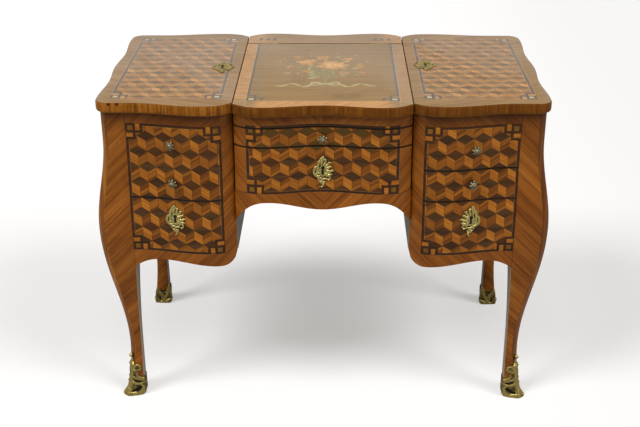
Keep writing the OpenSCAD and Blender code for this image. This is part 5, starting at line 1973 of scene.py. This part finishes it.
class Repeat(Nodes):
    """A Geometry Nodes group that sets one shape on every point of a mesh."""

    def __init__(self, name: str, **sizes: str) -> None:
        """Starts a group with its named inputs: a finish, its sizes by kind, and a seed."""
        self.group = bpy.data.node_groups.new(name, "GeometryNodeTree")
        super().__init__(self.group)
        new_socket = self.group.interface.new_socket
        new_socket("Geometry", in_out="OUTPUT", socket_type="NodeSocketGeometry")
        kinds = {"Geometry": "Geometry", "Finish": "Material", **sizes, "Seed": "Int"}
        self.sockets = {
            key: new_socket(key, in_out="INPUT", socket_type=f"NodeSocket{kind}")
            for key, kind in kinds.items()
        }
        self.start = self.nodes.new("NodeGroupInput")

    def given(self, name: str) -> Num:
        """The value of an input."""
        return Num(self, self.start.outputs[name])

    def named(self, name: str) -> Num:
        """A number stored on the points."""
        return self.number("GeometryNodeInputNamedAttribute", {"data_type": "FLOAT"}, {"Name": name})

    def chance(self, low: float, high: float) -> Num:
        """A random number for each point, drawn from the group's seed."""
        values = {2: low, 3: high, "Seed": self.given("Seed")}
        return self.number("FunctionNodeRandomValue", {"data_type": "FLOAT"}, values, 1)

    def spread(
        self, shape: Socket, rotation: Socket, scale: Union[Socket, tuple[float, float, float]]
    ) -> None:
        """Sets the shape on the points and closes the group with real, finished geometry."""
        placed_on = self.add(
            "GeometryNodeInstanceOnPoints", None,
            {"Points": self.given("Geometry"), "Instance": shape, "Rotation": rotation, "Scale": scale},
        )
        real = self.add("GeometryNodeRealizeInstances", None, {0: placed_on.outputs[0]})
        dressed = self.add(
            "GeometryNodeSetMaterial", None, {"Geometry": real.outputs[0], "Material": self.given("Finish")}
        )
        self.add("NodeGroupOutput", None, {0: dressed.outputs[0]})

    def grow(
        self, name: str, points: Sequence[Sequence[float]], numbers: dict[str, Sequence[float]], inputs: dict
    ) -> bpy.types.Object:
        """Runs the group once.

        Args:
            name: The piece's name.
            points: Where the shapes go.
            numbers: Numbers of each point, by name.
            inputs: Values of the group's named inputs.

        Returns:
            A piece with real faces and no modifier.
        """
        mesh = bpy.data.meshes.new(f"{name}_points")
        mesh.from_pydata([tuple(map(float, p)) for p in points], [], [])
        for key, values in numbers.items():
            mesh.attributes.new(key, "FLOAT", "POINT").data.foreach_set("value", [float(v) for v in values])
        seedling = bpy.data.objects.new(f"{name}_points", mesh)
        bpy.context.scene.collection.objects.link(seedling)
        modifier = seedling.modifiers.new("repeat", "NODES")
        modifier.node_group = self.group
        for key, value in inputs.items():
            modifier[self.sockets[key].identifier] = value
        bpy.context.view_layer.update()
        grown = bpy.data.meshes.new_from_object(seedling.evaluated_get(bpy.context.evaluated_depsgraph_get()))
        bpy.data.objects.remove(seedling)
        grown.name = name
        return placed(grown, name, (), 35, 1e-7)


def inlay_group() -> Repeat:
    """Thin inlaid petals or leaves: one pointed oval on each point."""
    group = Repeat("inlaid_ovals", Pinch="Float", Thickness="Float")
    oval = group.add(
        "GeometryNodeMeshCylinder", None, {"Vertices": 22, "Radius": 0.5, "Depth": group.given("Thickness")}
    )
    x, y, z = group.parts(group.add("GeometryNodeInputPosition").outputs[0])
    bent = group.point(x, y * (1.0 - x * x * 4.0 * group.given("Pinch")), z)
    shaped = group.add("GeometryNodeSetPosition", None, {"Geometry": oval.outputs[0], "Position": bent})
    shaded = group.add(
        "GeometryNodeStoreNamedAttribute", {"data_type": "FLOAT", "domain": "POINT"},
        {"Geometry": shaped.outputs[0], "Name": "shade", "Value": x + 0.5},
    )
    size = group.point(group.named("length") * group.chance(0.92, 1.08), group.named("width"), 1.0)
    group.spread(shaded.outputs[0], group.point(0.0, 0.0, group.named("turn")), size)
    return group


def screw_group() -> Repeat:
    """Slotted screw heads, each turned by chance."""
    group = Repeat("screw_heads", Radius="Float")
    radius = group.given("Radius")
    crown = group.add("GeometryNodeMeshCone", None, {
        "Vertices": 20, "Radius Top": radius * 0.82, "Radius Bottom": radius, "Depth": 0.00012,
    })
    bar = group.add("GeometryNodeMeshCube", None, {"Size": group.point(radius * 1.5, 0.0005, 0.00006)})
    lifted = group.add(
        "GeometryNodeTransform", None, {"Geometry": bar.outputs[0], "Translation": (0, 0, 0.00013)}
    )
    both = group.add("GeometryNodeJoinGeometry")
    for part in (crown, lifted):
        group.links.new(part.outputs[0], both.inputs[0])
    turn = group.point(group.named("flip"), 0.0, group.chance(0.0, math.pi))
    group.spread(both.outputs[0], turn, (1.0, 1.0, 1.0))
    return group


@dataclass(frozen=True)
class InlayWood:
    """Stained and hot-sand shaded woods of the flowers, leaves and ribbon."""

    name: str
    tones: Tones
    shaded: float = 0.6
    polish: Polish = TOP_POLISH

    def build(self) -> Material:
        """The inlay's material."""
        tree = Tree(self.name)
        x, y, _ = tree.place()
        tone = tree.attribute("tone")
        colour, relief = grain(tree, x * 0.8 + y * 0.6, y * 0.8 - x * 0.6, tone * 9.0, self.tones)
        colour = tree.mix(tone.step(0.4, 1.0) * 0.55, colour, self.tones.light)
        colour = tree.mix((0.35 - tone).step(0.0, 0.35) * 0.5, colour, self.tones.dark)
        if self.shaded:
            colour = tree.mix(tree.attribute("shade").step(0.45, 0.02) * self.shaded, colour, self.tones.dark)
        return varnished(tree, colour, relief, self.polish, 0.5)


@dataclass(frozen=True)
class Bloom:
    """One flower of the bouquet, in millimetres: its middle, its size and its rings of petals."""

    x: float
    y: float
    r: float
    rings: tuple[tuple[int, float, float, float], ...]
    tone: float = 0.5


PEONY = ((9, 0.66, 0.62, 0.50), (8, 0.44, 0.52, 0.42), (6, 0.25, 0.42, 0.34), (4, 0.10, 0.26, 0.24))
ROSE = ((7, 0.62, 0.66, 0.56), (6, 0.36, 0.50, 0.44), (4, 0.14, 0.34, 0.30))
DAISY = ((11, 0.60, 0.72, 0.24), (5, 0.12, 0.26, 0.22))
PINK = ((5, 0.55, 0.76, 0.62), (3, 0.12, 0.28, 0.26))


@dataclass
class Bouquet:
    """A tied bouquet and a ribbon, inlaid in the flap."""

    blooms: tuple[Bloom, ...] = (
        Bloom(20, 14, 37, PEONY, 0.6), Bloom(-42, 38, 27, ROSE, 0.45), Bloom(-3, 74, 19, DAISY, 0.85),
        Bloom(56, 60, 17, PINK, 0.7), Bloom(-78, 2, 13, PINK, 0.5), Bloom(84, 6, 14, DAISY, 0.75),
        Bloom(-62, 74, 12, DAISY, 0.8), Bloom(44, -46, 12, PINK, 0.45), Bloom(-38, -34, 12, DAISY, 0.65),
        Bloom(88, -42, 9, PINK, 0.6), Bloom(-84, -46, 9, PINK, 0.7),
    )
    buds: tuple[tuple[float, float, float], ...] = (
        (99, 42, 0.5), (-101, 36, 2.6), (30, 104, 1.2), (-34, 106, 1.9), (74, 92, 0.9), (-92, 62, 2.3),
    )
    tie: tuple[float, float] = (4.0, -100.0)
    lift: float = 0.00004
    thick: float = 0.0003
    layer: float = 0.00005
    pitch: float = 1.0

    def dress(self) -> None:
        """Builds petals, leaves, stems and ribbon."""
        group = inlay_group()
        wood = built({
            "petals": InlayWood(
                "petal_satinwood", Tones((0.34, 0.165, 0.055), (0.62, 0.33, 0.120), (0.82, 0.54, 0.24)), 0.7
            ),
            "leaves": InlayWood(
                "leaf_sycamore", Tones((0.16, 0.135, 0.055), (0.37, 0.31, 0.135), (0.52, 0.44, 0.20))
            ),
            "ribbon": InlayWood(
                "ribbon_boxwood", Tones((0.36, 0.29, 0.12), (0.58, 0.46, 0.20), (0.72, 0.58, 0.28)), 0.0
            ),
            "stems": InlayWood(
                "stem_holly", Tones((0.22, 0.17, 0.065), (0.36, 0.28, 0.11), (0.50, 0.40, 0.17)), 0.0
            ),
        })
        self.inlay(group, self.petals(), wood["petals"], 0.18, 11, "flap_bouquet_petals")
        self.inlay(group, self.leaves(), wood["leaves"], 0.72, 7, "flap_bouquet_leaves")
        self.drawn(self.stems(), 0.05, wood["stems"], "flap_bouquet_stems")
        self.drawn(self.ribbon(), 0.14, wood["ribbon"], "flap_bouquet_ribbon")

    def petals(self) -> list[tuple[float, ...]]:
        """Petals as rows of x, y, turn, length, width, tone and level."""
        rows = []
        for n, bloom in enumerate(self.blooms):
            for level, (count, away, length, width) in enumerate(bloom.rings):
                for k in range(count):
                    a = 2 * math.pi * (k + 0.5 * (level % 2)) / count + n * 0.7
                    wobble = 1 + 0.09 * math.sin(5.1 * k + 3.3 * level + n)
                    d = bloom.r * away * wobble
                    tone = bloom.tone - 0.45 + 0.3 * level + 0.2 * math.sin(2.7 * k + 1.9 * level + n)
                    rows.append((
                        bloom.x + d * math.cos(a), bloom.y + d * math.sin(a), a, bloom.r * length,
                        bloom.r * width, tone, 2 + level + 0.9 * k / count,
                    ))
            rows.append((bloom.x, bloom.y, 0.0, bloom.r * 0.2, bloom.r * 0.2, 0.05, 2.5 + len(bloom.rings)))
        for x, y, a in self.buds:
            for side, level in ((-0.35, 1.0), (0.35, 1.4), (0.0, 1.8)):
                rows.append(
                    (
                        x + 2 * math.cos(a + side), y + 2 * math.sin(a + side), a + side, 9.0, 3.6,
                        0.6 + side, level
                    )
                )
        return rows

    def leaves(self) -> list[tuple[float, ...]]:
        """Leaves as rows like the petals'."""
        rows = []
        for n, (x, y) in enumerate(self.ends()):
            dx, dy = x - self.tie[0], y - self.tie[1]
            along = math.atan2(dy, dx)
            for share, side in ((0.34, 1), (0.5, -1), (0.66, 1), (0.8, -1)):
                reach = 10.5 + 3.5 * math.sin(3.1 * n + 7 * share)
                turn = along + side * (0.75 + 0.2 * math.sin(n * 1.7 + share * 5))
                px, py = self.on_stem(x, y, share)
                rows.append((
                    px + reach * 0.8 * math.cos(turn), py + reach * 0.8 * math.sin(turn),
                    turn, reach * 1.9, reach * 0.72,
                    0.5 + 0.4 * math.sin(n * 2.3 + share * 11), 0.6 + 0.15 * ((n + share * 10) % 3),
                ))
        return rows

    def ends(self) -> list[tuple[float, float]]:
        """Where the stems end."""
        return [(b.x, b.y) for b in self.blooms] + [(x, y) for x, y, _ in self.buds]

    def on_stem(self, x: float, y: float, share: float) -> tuple[float, float]:
        """A point of the curved stem that leads to x, y."""
        x0, y0 = self.tie
        mx, my = x0 + (x - x0) * 0.22, y0 + (y - y0) * 0.62
        s, t = share, 1 - share
        return (t * t * x0 + 2 * s * t * mx + s * s * x, t * t * y0 + 2 * s * t * my + s * s * y)

    def stems(self) -> list[Stroke]:
        """Stems from the tie to the flowers, and their cut ends below it."""
        lines = []
        for x, y in self.ends():
            points = tuple(self.on_stem(x, y, t) for t in np.linspace(0, 0.97, 9))
            lines.append(Stroke(points, tuple(np.linspace(0.95, 0.7, 9))))
        for k in range(5):
            lines.append(
                Stroke((self.tie, (self.tie[0] - 13 + 6.5 * k, self.tie[1] - 36 - 3 * (k % 2))), (1.4, 1.1))
            )
        return lines

    def ribbon(self) -> list[Stroke]:
        """Two loops, a knot and two long waving tails with forked ends."""
        x0, y0 = self.tie[0], self.tie[1] - 22
        lines = [Stroke(((x0 - 4, y0), (x0 + 4, y0)), (5.0, 5.0))]
        turns, shares = np.linspace(0.1, 3.0, 22), np.linspace(0, 1, 40)
        for s, flat, phase in ((LEFT, 0.86, 0.6), (RIGHT, 1.0, 0.0)):
            loop = tuple((x0 + s * (4 + 27 * math.sin(t)), y0 + 13 * math.sin(2 * t) * flat) for t in turns)
            lines.append(Stroke(loop, tuple(1.6 + 2.0 * abs(math.sin(1.5 * t)) for t in turns)))
            tail = tuple(
                (x0 + s * (10 + 96 * t), y0 - 5 + 10 * math.sin(11 * t + phase) - 6 * math.sin(3.1 * t))
                for t in shares
            )
            lines.append(Stroke(tail, tuple(1.0 + 3.4 * abs(math.sin(11 * t + 1.2)) for t in shares)))
            x, y = tail[-1]
            for fork in (-3.2, 3.2):
                lines.append(Stroke(((x, y), (x + s * 6, y + fork)), (1.6, 0.5)))
        return lines

    def inlay(
        self, group: Repeat, rows: Sequence[Sequence[float]], finish: Material, pinch: float, seed: int,
        name: str
    ) -> None:
        """Sets ovals on the rows' places and puts them on the flap."""
        data = np.array(rows)
        thick = self.thick
        tops = C.height + self.lift + data[:, 6] * self.layer - thick / 2
        points = np.column_stack([data[:, 0] * MM, data[:, 1] * MM, tops])
        numbers = {
            "turn": data[:, 2], "length": data[:, 3] * MM, "width": data[:, 4] * MM,
            "tone": np.clip(data[:, 5], 0, 1)
        }
        piece = group.grow(
            name, points, numbers, {"Finish": finish, "Pinch": pinch, "Thickness": thick, "Seed": seed}
        )
        wear(piece, "flap", "flap_marquetry")

    def drawn(self, lines: Sequence[Stroke], thick: float, finish: Material, name: str) -> None:
        """Cuts a flat inlay along strokes and puts it on the flap."""
        us, vs = np.arange(-118, 120, self.pitch), np.arange(-146, 118, self.pitch)
        u, v = np.meshgrid(us, vs, indexing="ij")
        inside = np.full_like(u, -99.0)
        for line in lines:
            inside = np.maximum(inside, line.over(u, v)[0])

        def place(p: Points, q: Points, h: Points) -> Points:
            """Lays points of the inlay on the flap."""
            return np.stack([p * MM, q * MM, C.height + self.lift + np.where(h > 0, h, -0.2) * MM], -1)

        shell = Shell()
        cut_sheet(shell, us, vs, inside, np.full_like(u, thick), place)
        wear(shell.build(name, [finish]), "flap", "flap_marquetry")


# ---------------------------------------------------------------- inside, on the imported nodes


@dataclass
class Inside:
    """Boards, boxes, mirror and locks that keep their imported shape."""

    screw_y: float = 0.168
    screw_pair: float = 0.015
    screw_r: float = 0.0021
    case_screw: tuple[float, float] = (0.4725, 0.7286)
    lid_screw: tuple[float, float] = (0.4665, 0.7289)

    def dress(self) -> None:
        """Gives every kept node its material."""
        oak = Tones((0.13, 0.065, 0.025), (0.27, 0.16, 0.07), (0.38, 0.25, 0.13))
        boards = PlainWood("board_oak", oak, 1).build()
        grey = PlainWood(
            "grey_stained_oak", Tones((0.10, 0.095, 0.062), (0.19, 0.185, 0.13), (0.27, 0.26, 0.19)), 2
        ).build()
        frame_wood = PlainWood(
            "mirror_frame_wood", Tones((0.03, 0.014, 0.006), (0.075, 0.032, 0.012), (0.13, 0.06, 0.02)), 1,
            0.4, 0.3
        ).build()
        glass = SilveredGlass("silvered_glass").build()
        brass = Metal("hinge_brass", (0.55, 0.40, 0.17), (0.20, 0.13, 0.05), 0.35, 420, 0.0001).build()
        steel = Metal("lock_steel", (0.42, 0.41, 0.39), (0.14, 0.12, 0.10), 0.38, 520, 0.0001).build()
        rows = {
            boards: [
                "well_floor_left", "well_floor_right", "pedestal_bottoms", "dust_boards",
                "centre_bottom_board", "mirror_well_floor", "slide_board", "centre_drawer_box",
                "left_drawer_box", "middle_drawer_box", "right_drawer_box",
            ],
            grey: ["partition_left", "partition_right"],
            frame_wood: ["mirror_frame"],
            glass: ["mirror_glass"],
            brass: [
                "case_hinge_leaves", "lid_left_hinge_leaves", "lid_right_hinge_leaves", "flap_hinge_leaves"
            ],
            steel: [
                "lid_left_bolt", "lid_right_bolt", "centre_drawer_bolt", "left_drawer_bolt",
                "right_drawer_bolt"
            ],
        }
        for material, nodes in rows.items():
            for node in nodes:
                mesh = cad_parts[node].data
                if not mesh.materials:
                    mesh.materials.append(material)
                for k in range(len(mesh.materials)):
                    mesh.materials[k] = material
                log.info("%s: %s", node, material.name)
        self.screws(brass)

    def screws(self, brass: Material) -> None:
        """Two slotted screws in each leaf of the lids' hinges."""
        group = screw_group()
        (case_x, top), (lid_x, under) = self.case_screw, self.lid_screw
        spots = [e * self.screw_y + d * self.screw_pair for e in (FRONT, BACK) for d in (-1, 1)]
        rows = {
            "carcase": ([(s * case_x, v, top) for s in (LEFT, RIGHT) for v in spots], 0.0),
            "left_lid": ([(LEFT * lid_x, v, under) for v in spots], math.pi),
            "right_lid": ([(RIGHT * lid_x, v, under) for v in spots], math.pi),
        }
        for seed, (body, (places, flip)) in enumerate(rows.items()):
            numbers = {"flip": [flip] * len(places)}
            inputs = {"Finish": brass, "Radius": self.screw_r, "Seed": seed}
            piece = group.grow(f"{body}_hinge_screws", places, numbers, inputs)
            wear(piece, body, "hinge_brass")


# ---------------------------------------------------------------- studio


@dataclass
class Studio:
    """Floor, lamps and camera."""

    camera_at: tuple[float, float, float] = (0.0281, -2.4578, 1.5257)
    pitch: float = 25.097
    yaw: float = -0.901
    roll: float = -0.177
    focal_px: float = 1100.0
    width_px: int = 640
    boxes: tuple[tuple[str, float, float, float], ...] = (
        ("left_box", -58, 47, 1.75), ("right_box", 60, 47, 1.35), ("top_box", 0, 72, 0.55),
    )
    softness: float = 24.0
    floor_lift: float = 0.42
    room: float = 0.16

    def set_up(self) -> None:
        """Builds the studio."""
        self.camera()
        self.floor()
        self.lamps()
        bpy.context.scene.view_settings.view_transform = "Standard"

    def camera(self) -> None:
        """The camera at the viewing angle."""
        p, w, r = (math.radians(v) for v in (self.pitch, self.yaw, self.roll))
        ahead = Vector((math.sin(w) * math.cos(p), math.cos(w) * math.cos(p), -math.sin(p)))
        side = Vector((math.cos(w), -math.sin(w), 0))
        up = side.cross(ahead)
        across = side * math.cos(r) + up * math.sin(r)
        over = across.cross(ahead)
        data = bpy.data.cameras.new("studio_camera")
        data.sensor_width = 36.0
        data.lens = self.focal_px / self.width_px * data.sensor_width
        data.clip_end = 60
        camera = bpy.data.objects.new("studio_camera", data)
        camera.matrix_world = Matrix(
            [(across[i], over[i], -ahead[i], self.camera_at[i]) for i in range(3)] + [(0, 0, 0, 1)]
        )
        bpy.context.scene.collection.objects.link(camera)
        bpy.context.scene.camera = camera

    def floor(self) -> None:
        """A wide pale floor."""
        shell = Shell()
        half = 14.0
        shell.polygon(np.array([(-half, -half, 0), (half, -half, 0), (half, half, 0), (-half, half, 0)]))
        tree = Tree("studio_floor")
        x, y, z = tree.place()
        # Painted shade on the floor: it is made darker towards the right.
        painted_falloff = x.step(0.25, 1.4)
        mottle = tree.noise(tree.point(x, y, z), 3.0, 2)
        colour = tree.mix(mottle * 0.3, (0.60, 0.595, 0.59), (0.585, 0.585, 0.585))
        path = tree.add("ShaderNodeLightPath")
        seen = Num(tree, path.outputs["Is Camera Ray"])
        paper = tree.finish({
            "Base Color": colour, "Roughness": 0.9, "Specular IOR Level": 0.0,
            "Emission Color": (1.0, 0.985, 0.97),
            "Emission Strength": seen * (1 - painted_falloff * 0.22) * self.floor_lift,
        })
        shell.build("studio_floor", [paper])

    def lamps(self) -> None:
        """Soft boxes to the front and above, and a pale room."""
        for name, turn, height, power in self.boxes:
            light = bpy.data.lights.new(name, "SUN")
            light.angle = math.radians(self.softness)
            light.energy = power
            lamp = bpy.data.objects.new(name, light)
            a, e = math.radians(turn), math.radians(height)
            at = Vector((math.sin(a) * math.cos(e), -math.cos(a) * math.cos(e), math.sin(e))) * 4
            lamp.location = at
            lamp.rotation_euler = (-at).to_track_quat("-Z", "Y").to_euler()
            bpy.context.scene.collection.objects.link(lamp)
        world = bpy.data.worlds.new("pale_room")
        world.use_nodes = True
        room = Nodes(world.node_tree)
        path = room.add("ShaderNodeLightPath")
        way = room.parts(room.add("ShaderNodeTexCoord").outputs["Generated"])
        wall = room.number("ShaderNodeMapRange", None, {
            "Value": way[1], "From Min": -0.55, "From Max": 0.35, "To Min": 0.16, "To Max": 1.0,
        })
        gloss = room.number("ShaderNodeMix", None, {0: path.outputs["Is Glossy Ray"], 2: self.room, 3: wall})
        strength = gloss.high(path.outputs["Is Camera Ray"])
        light = room.add("ShaderNodeBackground", None, {"Strength": strength})
        room.add("ShaderNodeOutputWorld", None, {0: light.outputs[0]})
        bpy.context.scene.world = world


def main() -> None:
    """Builds the studio and dresses the table, one assembly after another."""
    logging.basicConfig(level=logging.INFO, format="%(message)s")
    Studio().set_up()
    for assembly in (Case(), Top(), Fronts(), Mounts(), Bouquet(), Inside()):
        log.info("%s", type(assembly).__name__)
        assembly.dress()


if __name__ == "__main__":
    main()
